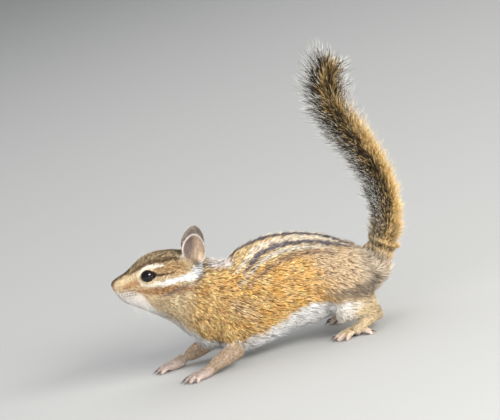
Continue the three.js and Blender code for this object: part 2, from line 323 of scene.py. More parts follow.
@dataclass(frozen=True)
class Mark:
    """A marking of the coat: its trail, its colour, how far it covers and how ragged its edge is."""

    trail: Trail
    paint: Array
    cover: float
    ragged: float = 0.0


def draw(colour: Array, marks: tuple[Mark, ...], back: Array, high: Array, ragged: Array) -> Array:
    """Lays markings over a colour, one after the other.

    Args:
        colour: the colour of each place so far.
        marks: the markings.
        back: how far back each place is.
        high: how high it shows.
        ragged: noise that makes the edges uneven.

    Returns:
        The new colour of each place.
    """
    for mark in marks:
        colour = mix(colour, mark.paint, mark.trail.cover(back, high + mark.ragged * ragged) * mark.cover)
    return colour


# lines across the side view that bound whole areas
HEAD_END = Line(((10, -20), (20, -17), (34, -11.5), (40, -4.5), (48, -1), (56, 1)))
BELLY_EDGE = Line(
    ((-34, 31.5), (-28, 27.5), (-22, 22.5), (-17, 18.5), (-12, 13), (-4, 8), (6, 7), (14, 8.2), (22, 10.4),
     (30, 13.4), (37, 15.6), (49, 12.4), (58, 10), (64, 8), (72, 8))
)
FACE_TOP = Line(
    ((-44, 49.4), (-40, 49.6), (-36, 50.2), (-32, 51), (-28, 51.8), (-22, 50.8), (-16, 50), (-10, 50))
)
LIP_EDGE = Line(
    ((-46, 44), (-43, 43.4), (-39, 42.8), (-35, 41), (-33, 38.4), (-31, 34.2), (-29, 29.5), (-26.5, 22),
     (-23, 0))
)
THROAT_EDGE = Line(
    ((-46, 41.4), (-40, 38.9), (-34, 35.6), (-28, 30.2), (-22, 24.2), (-17, 18.5), (-12, 13), (-4, 8))
)

# the flank and the stripes of the back
FLANK_MAUVE = Trail(((5, 24, 3.0), (9, 20, 3.5)), 3.0)
NECK_SHADE = Trail(((-10, 38.5, 1.6), (-7, 34, 2.4)), 1.8)
HAUNCH_EDGE = Trail(((44, 18, 0.6), (50, 16.4, 1.6), (56, 15.4, 2.6), (63, 15.4, 2.6), (69, 19, 1.2)), 2.4)
OUTER_BROWN = Trail(
    ((11, 30.5, 0.5), (15, 32.6, 1.0), (20, 35, 1.3), (25, 37, 1.3), (30, 38.4, 1.3), (35, 39, 1.3),
     (40, 39, 1.3), (45, 38, 1.1), (50, 36, 0.8), (53, 34.6, 0.3)),
    0.7,
)
OUTER_LIGHT = Trail(
    ((8, 32.4, 0.5), (15, 36.8, 0.8), (20, 39.6, 1.0), (25, 41.6, 1.1), (30, 42.2, 1.1), (35, 42, 1.0),
     (40, 41.4, 1.0), (46, 40, 0.8), (52, 37.6, 0.5)),
    0.7,
)
INNER_DARK = Trail(
    ((11, 36.6, 0.5), (14, 39, 0.8), (18, 42, 1.1), (22, 44.2, 1.25), (26, 45, 1.3), (30, 45.1, 1.3),
     (35, 44.8, 1.25), (40, 44, 1.2), (45, 42.7, 1.15), (50, 40.9, 1.0), (55, 38.8, 0.7), (60, 36.4, 0.3)),
    0.55,
)
INNER_LIGHT = Trail(
    ((9, 38.6, 0.8), (14, 42.6, 1.2), (18, 45.4, 1.4), (24, 47.5, 1.3), (30, 47.8, 1.2), (38, 46.8, 1.2),
     (46, 44.6, 1.0), (54, 41, 0.7), (60, 37.6, 0.4))
)
NAPE = Trail(((-6, 49, 1.5), (1, 45.4, 2.6), (6, 44, 2)), 1.6)
# painted shade in the crease where the haunch meets the flank
HAUNCH_CREASE_SHADE = Trail(((40.5, 22.5, 0.5), (40.8, 19, 0.9), (41.6, 15.4, 0.7)), 1.0)
BACK_MARKS = (
    Mark(FLANK_MAUVE, MAUVE, 0.8, 1.0),
    Mark(NECK_SHADE, TAWNY * 0.62, 0.85, 1.0),
    Mark(HAUNCH_EDGE, HAUNCH_LOW, 0.75, 1.0),
    Mark(OUTER_BROWN, STRIPE_BROWN, 0.78, 0.35),
    Mark(OUTER_LIGHT, CREAM, 0.92, 0.35),
    Mark(INNER_DARK, STRIPE_DARK, 0.9, 0.35),
    Mark(INNER_LIGHT, STRIPE_TAN, 0.85, 0.35),
)
# last the grey nape, and the painted shade of the crease in front of the haunch
LAST_BODY_MARKS = (Mark(NAPE, NAPE_GREY, 0.85), Mark(HAUNCH_CREASE_SHADE, STRIPE_BROWN, 0.5))

# the face
TEMPLE = Trail(((-24, 48.4, 1.6), (-19, 48.4, 2.0), (-13, 47.6, 2.0)), 1.0)
MUZZLE_SIDE = Trail(((-43, 47.3, 1.0), (-40, 47.8, 1.3), (-36, 48.4, 1.2), (-32.5, 49, 0.9)), 0.8)
MUZZLE_PATCH = Trail(((-40, 44.9, 0.8), (-36.5, 45.2, 1.5), (-33.6, 45.6, 1.7)), 1.1)
CHEEK_STRIPE = Trail(
    ((-34.4, 41.6, 0.8), (-29.5, 40.1, 1.4), (-25.8, 39, 1.7), (-22, 38.6, 1.7), (-18.4, 38.2, 1.6),
     (-14.7, 37.4, 1.4), (-10.6, 36.4, 0.9)),
    0.9,
)
CHEEK_SPOT = Trail(((-24.4, 36.6, 0.7), (-21, 36.8, 0.8), (-16, 38.2, 0.7), (-11, 38.4, 0.5)), 0.7)
CHEEK_WHITE = Trail(
    ((-26.6, 42.2, 0.4), (-22.6, 41.9, 1.0), (-18.4, 42, 1.1), (-14.4, 42, 1.2), (-10.4, 41.6, 1.8),
     (-8, 42.6, 2.2), (-6, 44.6, 2.2), (-4.6, 46.4, 1.3)),
    0.9,
)
COLLAR = Trail(((-2.6, 46.6, 0.3), (-4.8, 43.4, 0.5), (-6.9, 40.6, 0.6), (-9.6, 37.8, 0.5)), 0.8)
BROW_BAND = Trail(
    ((-36, 50.2, 0.6), (-32.4, 51.3, 0.8), (-28.7, 52.5, 0.9), (-24.3, 52.8, 1.0), (-19.9, 52.4, 0.9),
     (-15, 51.6, 0.6))
)
NOSE_RIDGE = Trail(((-45.4, 48.9, 0.4), (-43, 50, 0.8), (-40, 50.8, 0.8), (-36.4, 51.8, 0.3)), 0.7)
NOSE_TIP = Trail(((-45.6, 47.2, 0.5), (-44.6, 48.4, 0.8), (-43.2, 49.4, 0.6)))
RING_TOP = Trail(
    ((-33, 47.6, 0.5), (-31.2, 49.7, 0.8), (-28, 50.9, 1.0), (-24.6, 50.4, 0.9), (-21.4, 49.9, 0.5)), 0.5
)
RING_LOW = Trail(((-33, 46.2, 0.4), (-31.8, 43.9, 0.7), (-28.4, 42.7, 0.9), (-25, 42.9, 0.9)), 0.5)
EAR_LINE = Trail(((-24.6, 46, 0.75), (-21, 45.5, 0.9), (-17, 45.1, 0.8), (-13, 44.8, 0.6)))
BEHIND_EYE = Trail(((-25.2, 46.6, 0.5), (-23.4, 46, 0.6), (-20.4, 45.7, 0.4), (-17.2, 45.3, 0.25)), 0.45)
UPPER_FACE_MARKS = (
    Mark(TEMPLE, RUST, 0.85, 0.25),
    Mark(MUZZLE_SIDE, MUZZLE_CREAM, 0.9, 0.25),
    Mark(MUZZLE_PATCH, MUZZLE_ORANGE, 0.85, 0.25),
)
FACE_MARKS = (
    Mark(CHEEK_STRIPE, CHEEK_BROWN, 0.85, 0.25),
    Mark(CHEEK_SPOT, STRIPE_DARK, 0.5, 0.25),
    Mark(CHEEK_WHITE, WHITE, 1.0, 0.25),
    Mark(COLLAR, BROW * 0.6, 0.7, 0.6),
    Mark(BROW_BAND, BROW, 0.8, 0.25),
    Mark(NOSE_RIDGE, CROWN_DARK, 0.8, 0.25),
    Mark(NOSE_TIP, BROW * 0.7, 0.7),
)
EYE_MARKS = (Mark(EAR_LINE, RUST, 0.8, 0.25), Mark(BEHIND_EYE, EYE_LINE, 0.9))


class Markings:
    """The colours of the coat, as functions of the place on the body."""

    def torso(self, places: Array) -> Array:
        """The trunk, the neck and the haunches.

        Args:
            places: points in animal millimetres.

        Returns:
            A colour for each point.
        """
        back, high = side_view(places)
        ragged = BODY_EDGES.at(places)
        colour = mix(TAWNY, TAWNY_PALE, 0.18 + 0.16 * BODY_BLOTCHES.at(places))
        colour = mix(colour, SHOULDER_TAN, fall(-8, 14, back) * 0.75)
        colour = mix(colour, HAUNCH, rise(38, 50, back + 0.25 * (high - 28) + 1.5 * ragged))
        colour = mix(colour, RUMP_GREY, rise(56, 68, back) * 0.8)
        colour = mix(colour, OCHRE_TAN, rise(37, 41, high) * rise(2, 12, back) * 0.8)
        colour = draw(colour, BACK_MARKS, back, high, ragged)
        spine = fall(2.0, 3.1, np.abs(places[:, 1]) + 0.25 * ragged)
        spine *= rise(2, 10, back) * fall(56, 68, back) * rise(30, 34, high)
        colour = mix(colour, STRIPE_DARK * 0.8, spine * 0.95)
        colour = draw(colour, LAST_BODY_MARKS, back, high, ragged)
        belly = mix(WHITE, BELLY_SHADE, 0.35 + 0.35 * BELLY_BLOTCHES.at(places))
        return mix(colour, belly, 1.0 - BELLY_EDGE.above(back, high + 0.9 * ragged, 1.5))

    def head(self, places: Array) -> Array:
        """The head, from the nose to behind the ears.

        Args:
            places: points in animal millimetres.

        Returns:
            A colour for each point.
        """
        back, high = side_view(places)
        ragged = FACE_EDGES.at(places)
        low = high + 0.25 * ragged
        colour = mix(CHEEK_TAN, OCHRE_TAN, rise(-30, -14, back) * 0.35)
        colour = mix(colour, CROWN, FACE_TOP.above(back, low, 0.9))
        colour = draw(colour, UPPER_FACE_MARKS, back, high, ragged)
        colour = mix(colour, LIP, 1.0 - LIP_EDGE.above(back, low, 1.1))
        colour = mix(colour, WHITE, (1.0 - THROAT_EDGE.above(back, low, 2.8)) * 0.9)
        colour = draw(colour, FACE_MARKS, back, high, ragged)
        middle = fall(0.8, 2.4, np.abs(places[:, 1])) * rise(-26, -18, back) * rise(50, 53, high)
        colour = mix(colour, CROWN_DARK, middle * 0.6)
        ring = np.maximum(RING_TOP.cover(back, high), RING_LOW.cover(back, high))
        colour = draw(mix(colour, EYE_RING, ring), EYE_MARKS, back, high, ragged)
        dots = np.minimum.reduce([np.hypot(back - x, high - y) for x, y in whisker_roots()])
        return mix(colour, CHEEK_BROWN * 0.4, fall(0.2, 0.6, dots) * 0.85)

    def tail(self, front: Array, share: Array, pick: Array) -> tuple[Array, ...]:
        """The tail's hairs, which change colour along their length.

        Args:
            front: 1 on the side of the tail that faces the head, -1 on the side that faces away.
            share: how far up the tail each hair grows, from 0 to 1.
            pick: a number from 0 to 1 that sets each hair apart from its neighbours.

        Returns:
            The colours at the root, the band under the tip, the foot of the tip and its end.
        """
        start = -0.4 + 0.5 * fall(0.12, 0.3, share) + 0.68 * rise(0.6, 0.84, share)
        dark = rise(0.0, 0.2, front - start)
        edge = rise(0.3, 0.65, front)
        end = rise(0.5, 0.9, share) * rise(0.5, 0.78, np.abs(front))
        end = np.where(0.1 + 0.75 * pick < end, 1.0, 0.2 * end)
        end = np.maximum(end, rise(0.95, 0.99, share))
        narrow = 0.27 + 0.12 * rise(0.6, 0.88, share)
        streak = np.exp(-(((front + 0.12) / narrow) ** 2)) * rise(0.22, 0.42, share)
        streak *= fall(0.95, 0.99, share)
        low_down = fall(0.1, 0.3, share)
        tan_hair = (pick < 0.16) * (1.0 - edge)
        black = np.maximum(dark * (1.0 - 0.85 * tan_hair), np.maximum(end, streak))
        root = mix(TAIL_OCHRE * 0.5, TAIL_BROWN * 0.8, dark * 0.7)
        root = mix(root, BLACK, streak * rise(0.5, 0.75, share) * 0.85)
        band = mix(TAIL_OCHRE * 1.05, BLACK, np.maximum(black, (pick > 0.84) * 0.85))
        band = mix(band, mix(HAUNCH, BLACK, (pick > 0.55) * 0.85), low_down * 0.75)
        tip = mix(TAIL_PALE, FROST, np.maximum(edge, end))
        plain = np.maximum(dark * (1 - edge) * (pick > 0.3), np.maximum(edge, end) * (pick > 0.72))
        tip = mix(tip, BLACK, np.maximum(streak * (pick < 0.96), plain) * 0.95)
        tip = mix(tip, TAIL_TAN, low_down * 0.7)
        return root, band, tip, tip


def whisker_roots() -> list[tuple[float, float]]:
    """Where the whiskers leave the lip.

    Returns:
        The roots in rows, each as (back, height).
    """
    rows = ((-42.6, 43.3, 6), (-42.2, 42.1, 6), (-41.4, 41.0, 5), (-40.2, 44.5, 3))
    roots = []
    for start, height, count in rows:
        roots += [(start + 1.25 * i, height - 0.12 * i) for i in range(count)]
    return roots


@dataclass(frozen=True)
class TailLine:
    """The line up the middle of the tail, with half its breadth and the radius of its bones and skin."""

    points: tuple[tuple[float, float, float], ...] = (
        (67, 24, 7.0), (72.6, 29.4, 7.3), (77.6, 37.4, 6.9), (80.4, 45.6, 7.0), (81.2, 53.6, 7.2),
        (80.7, 62, 7.6), (78.6, 72, 8.3), (75, 82.2, 8.9), (71.2, 92.4, 9.2), (69.2, 101, 9.7),
        (70, 109.4, 10.4), (72.6, 114.6, 9.8),
    )
    steps: int = 120
    root_radius: float = 3.0
    tip_radius: float = 1.1

    def middles(self) -> Array:
        """The middle of the tail, smoothed between the given points.

        Returns:
            Points like the given ones, from the foot of the tail to its tip.
        """
        given = np.array(self.points)
        place = np.linspace(0, len(given) - 1, self.steps)
        whole = np.clip(place.astype(int), 0, len(given) - 2)
        part = (place - whole)[:, None]
        before = given[np.maximum(whole - 1, 0)]
        start, end = given[whole], given[whole + 1]
        after = given[np.minimum(whole + 2, len(given) - 1)]
        curve = 2 * start + (end - before) * part
        curve += (2 * before - 5 * start + 4 * end - after) * part**2
        curve += (3 * start - before - 3 * end + after) * part**3
        return curve / 2

    def core(self) -> tuple[Array, Array]:
        """The middle of the tail in space.

        Returns:
            Its points, and the way to the tip at each.
        """
        line = self.middles()
        middles = np.stack([line[:, 0], np.zeros(len(line)), line[:, 1]], axis=1)
        return middles, unit(np.gradient(middles, axis=0))

    def nearest(self, places: Array) -> tuple[Array, Array, Array, Array]:
        """Where points are along the tail.

        Args:
            places: points in animal millimetres.

        Returns:
            For each: how far up the tail from 0 to 1, the way to the tip, the middle of the tail
            beside it, and half the tail's breadth there.
        """
        middles, way = self.core()
        block = 20000
        found = np.empty(len(places), dtype=int)
        for start in range(0, len(places), block):
            gaps = ((places[start:start + block, None, :] - middles[None]) ** 2).sum(axis=2)
            found[start:start + block] = gaps.argmin(axis=1)
        return found / (self.steps - 1), way[found], middles[found], self.middles()[found, 2]

    def way_up(self, places: Array) -> Array:
        """The way that hairs point along the tail, which at its foot is already the way further up.

        Args:
            places: points in animal millimetres.

        Returns:
            A direction for each point.
        """
        way = self.core()[1]
        ahead = np.maximum(self.nearest(places)[0], 0.15) * (self.steps - 1)
        return way[np.round(ahead).astype(int)]


TAIL = TailLine()


def to_animal(row: Array) -> Array:
    """Points of the frame, in metres, as animal millimetres."""
    return row / MM + np.array([SHOULDER, 0.0, 0.0])


def to_row(animal: Array) -> Array:
    """Animal millimetres as points of the frame, in metres."""
    return (animal - np.array([SHOULDER, 0.0, 0.0])) * MM


def mirrored(point: tuple[float, float, float], side: int) -> Array:
    """A point or a way given for the right side, on the side asked for."""
    return np.array(point) * np.array([1, side, 1])


def share_of(masks: Array, *regions: Region) -> Array:
    """How far each place belongs to the regions together."""
    return masks[:, [region.value for region in regions]].sum(axis=1)


def deselect() -> None:
    """Leaves nothing selected."""
    bpy.ops.object.select_all(action="DESELECT")


def activate(piece: bpy.types.Object) -> None:
    """Selects one object alone and makes it active.

    Args:
        piece: the object.
    """
    deselect()
    piece.select_set(True)
    bpy.context.view_layer.objects.active = piece


@contextmanager
def editing(piece: bpy.types.Object) -> Iterator[None]:
    """Opens a piece for editing, with everything in it selected.

    Args:
        piece: the piece.

    Returns:
        What the with statement needs.
    """
    activate(piece)
    bpy.ops.object.mode_set(mode="EDIT")
    bpy.ops.mesh.select_all(action="SELECT")
    yield
    bpy.ops.object.mode_set(mode="OBJECT")


def put(name: str, data: bpy.types.ID) -> bpy.types.Object:
    """Adds an object to the scene.

    Args:
        name: its name.
        data: its mesh, light or camera.

    Returns:
        The object.
    """
    piece = bpy.data.objects.new(name, data)
    bpy.context.collection.objects.link(piece)
    return piece


def start_ball(name: str, segments: int, rings: int, radius: float = 1.0) -> tuple[bpy.types.Object, Array]:
    """Adds a sphere to shape a piece from.

    Args:
        name: the piece's name.
        segments: how many faces go around it.
        rings: how many go from pole to pole.
        radius: its radius.

    Returns:
        The piece and its vertices.
    """
    deselect()
    bpy.ops.mesh.primitive_uv_sphere_add(segments=segments, ring_count=rings, radius=radius)
    piece = bpy.context.object
    piece.name = name
    return piece, points_of(piece.data)


def points_of(mesh: bpy.types.Mesh) -> Array:
    """A mesh's vertices.

    Args:
        mesh: the mesh.

    Returns:
        One vertex to a row.
    """
    flat = np.empty(len(mesh.vertices) * 3)
    mesh.vertices.foreach_get("co", flat)
    return flat.reshape(-1, 3)


def set_points(mesh: bpy.types.Mesh, points: Array) -> None:
    """Moves a mesh's vertices to new places."""
    mesh.vertices.foreach_set("co", np.ascontiguousarray(points, dtype=np.float64).ravel())
    mesh.update()


def paint(mesh: bpy.types.Mesh, colours: Array) -> None:
    """Writes colours into the attribute that the finishes read.

    Args:
        mesh: the mesh.
        colours: one colour for each vertex, or one for all.
    """
    layer = mesh.color_attributes.new(name="tint", type="FLOAT_COLOR", domain="POINT")
    rgba = np.ones((len(mesh.vertices), 4))
    rgba[:, :3] = np.clip(colours, 0.0, 1.0)
    layer.data.foreach_set("color", rgba.ravel())


class Socket:
    """A value in a node tree that can be written in sums."""

    def __init__(self, tree: bpy.types.NodeTree, output: bpy.types.NodeSocket) -> None:
        """Wraps an output of a node."""
        self.tree = tree
        self.output = output

    def _math(self, operation: str, *values: Socket | float) -> Socket:
        """Adds a Math node on values."""
        return node(self.tree, "ShaderNodeMath", {"operation": operation}, dict(enumerate(values)))

    def __add__(self, other: Socket | float) -> Socket:
        """Sum."""
        return self._math("ADD", self, other)

    def __mul__(self, other: Socket | float) -> Socket:
        """Product."""
        return self._math("MULTIPLY", self, other)

    __radd__ = __add__


def node(
    tree: bpy.types.NodeTree,
    kind: str,
    settings: dict | None = None,
    values: dict | None = None,
    output: int | str = 0,
) -> Socket:
    """Adds a node.

    Args:
        tree: the node tree.
        kind: the node's type.
        settings: its own settings, set first.
        values: its sockets' values or links, by name or number.
        output: which of its outputs to hand back.

    Returns:
        The output, wrapped.
    """
    made = tree.nodes.new(kind)
    for name, value in (settings or {}).items():
        setattr(made, name, value)
    for key, value in (values or {}).items():
        if isinstance(value, Socket):
            tree.links.new(value.output, made.inputs[key])
        else:
            made.inputs[key].default_value = value
    return Socket(tree, made.outputs[output])


def shader(material: bpy.types.Material) -> bpy.types.Node:
    """The main shader of a material."""
    return next(each for each in material.node_tree.nodes if each.type == "BSDF_PRINCIPLED")


def plug(material: bpy.types.Material, name: str, value: Socket) -> None:
    """Links a value to an input of the material's shader."""
    material.node_tree.links.new(value.output, shader(material).inputs[name])


@dataclass(frozen=True)
class Finish:
    """A surface that takes its colour from the tint, made uneven at a small scale.

    uneven is how much its brightness varies, grain the size of that in metres, bump how deep it goes
    in metres, and under how much light goes in and comes out again.
    """

    name: str
    roughness: float
    uneven: float
    grain: float
    bump: float = 0.0
    specular: float = 0.4
    under: float = 0.0

    def make(self) -> bpy.types.Material:
        """Builds the material.

        Returns:
            The material.
        """
        material = bpy.data.materials.new(self.name)
        material.use_nodes = True
        tree = material.node_tree
        body = shader(material)
        body.inputs["Specular IOR Level"].default_value = self.specular
        body.inputs["Subsurface Weight"].default_value = self.under
        body.inputs["Subsurface Radius"].default_value = (0.0012, 0.0006, 0.0004)
        body.inputs["Subsurface Scale"].default_value = 1.0
        tint = node(tree, "ShaderNodeAttribute", {"attribute_name": "tint"}, output="Color")
        place = node(tree, "ShaderNodeTexCoord", output="Object")
        sizes = {"Vector": place, "Scale": 1.0 / self.grain, "Detail": 4.0}
        cloud = node(tree, "ShaderNodeTexNoise", None, sizes)
        bright = 1.0 - self.uneven / 2 + cloud * self.uneven
        colour = node(tree, "ShaderNodeVectorMath", {"operation": "SCALE"}, {0: tint, "Scale": bright})
        plug(material, "Base Color", colour)
        plug(material, "Roughness", self.roughness - 0.08 + cloud * 0.16)
        if self.bump:
            height = {"Height": cloud, "Distance": self.bump, "Strength": 1.0}
            plug(material, "Normal", node(tree, "ShaderNodeBump", None, height))
        return material


HIDE = Finish("hide", 0.72, 0.30, 0.0009, 0.0003, 0.25, under=0.05)
HAIR = Finish("hair", 0.62, 0.22, 0.0016, 0.0, 0.28)
HORN = Finish("claw_horn", 0.35, 0.35, 0.0006, 0.00005, 0.5)
WET_EYE = Finish("wet_eye", 0.1, 0.3, 0.0012, 0.0, 0.48)


def hand_over(piece: bpy.types.Object, material: bpy.types.Material) -> None:
    """Smooths and dresses a piece, and tells the frame what it rides on and what it is made of.

    Args:
        piece: the piece.
        material: what it is made of.
    """
    piece.data.polygons.foreach_set("use_smooth", np.ones(len(piece.data.polygons), dtype=bool))
    piece.data.materials.clear()
    piece.data.materials.append(material)
    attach(piece, "root")


def region_of(name: str) -> Region:
    """The region that a solid of the frame belongs to.

    Args:
        name: the solid's name.

    Returns:
        Its region.
    """
    if name.startswith("eye"):
        return Region.HEAD
    return next(region for region in Region if name.startswith(region.name.lower()))


@dataclass
class Mesh:
    """A surface of four-sided faces held as arrays, so that it can be shaped all at once."""

    points: Array
    quads: Array
    edges: Array

    def normals(self) -> Array:
        """The way out at each vertex.

        Returns:
            A direction for each.
        """
        corner = [self.points[self.quads[:, i]] for i in range(4)]
        across = np.cross(corner[2] - corner[0], corner[3] - corner[1])
        total = np.zeros_like(self.points)
        for i in range(4):
            for axis in range(3):
                total[:, axis] += np.bincount(self.quads[:, i], across[:, axis], len(total))
        return unit(total)

    def spread(self, values: Array, rounds: int, share: Array | float) -> Array:
        """Blurs numbers over the surface.

        Args:
            values: numbers for each vertex, in columns.
            rounds: how often each value moves towards its neighbours' mean.
            share: how far it moves each time.

        Returns:
            The blurred numbers.
        """
        size = len(values)
        one, two = self.edges[:, 0], self.edges[:, 1]
        count = np.bincount(self.edges.ravel(), minlength=size)[:, None]
        share = np.asarray(share).reshape(-1, 1)
        for _ in range(rounds):
            ahead = [np.bincount(one, column[two], size) for column in values.T]
            behind = [np.bincount(two, column[one], size) for column in values.T]
            total = np.stack(ahead, axis=1) + np.stack(behind, axis=1)
            values = values + (total / np.maximum(count, 1) - values) * share
        return values


@dataclass
class Pinna:
    """An ear: a thin cup that opens forwards and outwards, with a rolled rim and a fold at its base."""

    middle: tuple[float, float, float] = (-5.9, 8.4, 55.6)
    half_height: float = 7.3
    half_width: float = 5.9
    thickness: float = 1.25
    cup: float = 3.0

    def axes(self, side: int) -> tuple[Array, Array, Array]:
        """The ear's own directions.

        Args:
            side: -1 for the left ear, 1 for the right one.

        Returns:
            The way across it, the way up it and the way out of its cup.
        """
        up = unit(np.array([0.36, side * 0.1, 0.93]))
        opening = np.array([-0.42, side * 0.88, 0.02])
        opening = unit(opening - up * (opening @ up))
        return np.cross(up, opening), up, opening

    def build(self, side: int) -> bpy.types.Object:
        """Models one ear from a sphere.

        Args:
            side: -1 for the left ear, 1 for the right one.

        Returns:
            The ear, in animal millimetres.
        """
        piece, ball = start_ball("ear", 72, 48)
        across, up, opening = self.axes(side)
        flat = ball[:, [0, 2]]
        reach = np.hypot(flat[:, 0], flat[:, 1])
        face = np.sign(ball[:, 1]) * np.sqrt(np.abs(ball[:, 1]))
        rim = rise(0.8, 0.97, reach)
        depth = -self.cup * (1.0 - reach**2) + face * self.thickness * (0.42 + 0.3 * rim)
        inner_fold = np.exp(-(((side * flat[:, 0] + 0.35) / 0.16) ** 2) - ((flat[:, 1] + 0.45) / 0.34) ** 2)
        depth += np.where(face > 0, inner_fold * 1.3, 0.0)
        egg = 1.0 - 0.16 * flat[:, 1]
        places = mirrored(self.middle, side) + across * (flat[:, :1] * self.half_width * egg[:, None])
        places = places + up * (flat[:, 1:] * self.half_height) + opening * depth[:, None]
        set_points(piece.data, places)
        return piece


PINNA = Pinna()


@dataclass
class EyeSetting:
    """An eye's place and size, and the opening between its lids, in animal millimetres."""

    middle: tuple[float, float, float] = (-28.4, 6.1, 49.4)
    radius: float = 3.55
    opening_middle: tuple[float, float] = (-28.35, 46.95)
    half_long: float = 3.25
    half_high: float = 2.5
    rim: float = 0.38

    def opening(self, places: Array) -> Array:
        """How far places are from the middle of the opening, 1 being at its edge.

        Args:
            places: points in animal millimetres.

        Returns:
            One number for each point.
        """
        back, high = side_view(places)
        along = (back - self.opening_middle[0]) / self.half_long
        above = (high - self.opening_middle[1] + 0.16 * along) / self.half_high
        towards_corner = np.clip(along, 0.0, 1.6)
        above = above * (1.0 + 0.4 * towards_corner**2 * (along > 0))
        return np.hypot(along * (1.0 - 0.1 * np.clip(along, 0, 1)), above)


EYE = EyeSetting()


@dataclass
class Hide:
    """The skin of the whole animal, in one piece from the nose to the end of the tail.

    voxel is the size of its faces, grown how far the solids are swollen so that they join,
    soft_rounds and regrow_rounds how often it is smoothed and what that loses is spread, mask_rounds
    how often the regions' edges are blurred and sink_steps in how many moves it sinks in. lid_gap is
    how far the lids lie off the eye and socket how far the skin behind the eye lies inside it. The
    rest is how deep the nostrils, the mouth and the groove of the lip are pressed in.
    """

    frame: dict
    voxel: float = 0.52
    grown: float = 0.22
    soft_rounds: int = 70
    regrow_rounds: int = 60
    mask_rounds: int = 26
    sink_steps: int = 8
    lid_gap: float = 0.16
    socket: float = 0.75
    nostril_depth: float = 0.7
    mouth_depth: float = 0.45
    groove_depth: float = 0.5
    solids: dict = field(init=False)
    piece: bpy.types.Object = field(init=False)
    surface: Mesh = field(init=False)
    masks: Array = field(init=False)
    outline: Array = field(init=False)

    def __post_init__(self) -> None:
        """Picks the solids that it replaces."""
        nodes = self.frame["nodes"]
        self.solids = {name: nodes[name] for name in nodes if not name.startswith("claw")}

    def _rough(self) -> bpy.types.Object:
        """Joins swollen copies of the solids, two finer ears and a thin tail.

        Returns:
            The rough body, placed in the frame.
        """
        parts = []
        for name, solid in self.solids.items():
            if region_of(name) in (Region.TAIL, Region.EAR):
                continue
            copy = put(f"rough_{name}", solid.data.copy())
            with editing(copy):
                bpy.ops.mesh.remove_doubles(threshold=1e-6)
                bpy.ops.transform.shrink_fatten(value=self.grown * MM)
            parts.append(copy)
        for side in (-1, 1):
            ear = PINNA.build(side)
            set_points(ear.data, to_row(points_of(ear.data)))
            parts.append(ear)
        parts.append(self._tail_core())
        deselect()
        for part in parts:
            part.select_set(True)
        bpy.context.view_layer.objects.active = parts[0]
        bpy.ops.object.join()
        return bpy.context.object

    def _tail_core(self) -> bpy.types.Object:
        """Models the thin tail inside its hair, from a sphere.

        Returns:
            The tail, placed in the frame.
        """
        piece, ball = start_ball("tail_core", 20, 60)
        share = np.clip(0.5 + 0.5 * ball[:, 2], 0.0, 1.0)
        share = np.arccos(1.0 - 2.0 * share) / math.pi
        middles, ways = TAIL.core()
        rows = np.arange(TAIL.steps) / (TAIL.steps - 1)
        middle, way = (
            np.stack([np.interp(share, rows, given[:, axis]) for axis in range(3)], axis=1)
            for given in (middles, ways)
        )
        above = np.stack([-way[:, 2], np.zeros(len(way)), way[:, 0]], axis=1)
        turn = unit(ball[:, :2])
        radius = TAIL.root_radius + (TAIL.tip_radius - TAIL.root_radius) * share
        radius = radius * np.sqrt(np.clip(1.0 - (2.0 * share - 1.0) ** 16, 0.0, 1.0))
        places = middle + above * (turn[:, :1] * radius[:, None])
        places[:, 1] += turn[:, 1] * radius
        set_points(piece.data, to_row(places))
        return piece

    def _soften(self, keep: Array) -> None:
        """Smooths the facets away without making the body thinner.

        Args:
            keep: from 0 to 1, how far each vertex stays as it was.
        """
        before = self.surface.points
        after = self.surface.spread(before, self.soft_rounds, 0.5 * (1.0 - keep) ** 2)
        self.surface.points = after
        normals = self.surface.normals()
        lost = ((before - after) * normals).sum(axis=1, keepdims=True)
        lost = self.surface.spread(lost, self.regrow_rounds, 0.5)
        self.surface.points = self.surface.spread(after + normals * lost, 4, 0.5)

    def _find_masks(self) -> Array:
        """How far each vertex belongs to each region, blurred where regions meet.

        Returns:
            A row for each vertex, with a column for each region.
        """
        corners, faces, labels = [], [], []
        for name, solid in self.solids.items():
            mesh = solid.data
            start = len(corners)
            corners += [tuple(corner) for corner in points_of(mesh) / MM]
            faces += [[start + i for i in polygon.vertices] for polygon in mesh.polygons]
            labels += [region_of(name).value] * len(mesh.polygons)
        tree = BVHTree.FromPolygons(corners, faces)
        rows = to_row(self.surface.points) / MM
        found = np.array([labels[tree.find_nearest(Vector(row))[2]] for row in rows])
        return self.surface.spread(np.eye(len(Region))[found], self.mask_rounds, 0.6)

    def _depth(self) -> Array:
        """How far inside the coat's outline the skin lies.

        Returns:
            A depth for each vertex.
        """
        back, high = side_view(self.surface.points)
        depth = self.masks @ table("depth")
        depth -= share_of(self.masks, Region.HEAD) * fall(-40, -24, back) * 0.35
        throat = rise(0.1, 0.8, -self.surface.normals()[:, 2])
        throat *= share_of(self.masks, Region.HEAD, Region.NECK)
        depth -= throat * rise(-38, -26, back) * 0.9
        root = rise(64, 72, back) * rise(18, 28, high) * share_of(self.masks, Region.RUMP)
        feet = share_of(self.masks, Region.FOREPAW, Region.HIND_FOOT)
        return np.maximum(depth + root * 1.2, 0.0) + 0.15 - 0.12 * feet

    def _sink(self) -> None:
        """Moves the skin in from the outline of the coat to its own depth."""
        depth = self._depth()
        for _ in range(self.sink_steps):
            normals = self.surface.spread(self.surface.normals(), 2, 0.5)
            self.surface.points = self.surface.points - unit(normals) * (depth / self.sink_steps)[:, None]
        soft = np.clip(depth / 2.0, 0.02, 0.5)
        self.surface.points = self.surface.spread(self.surface.points, 8, soft)

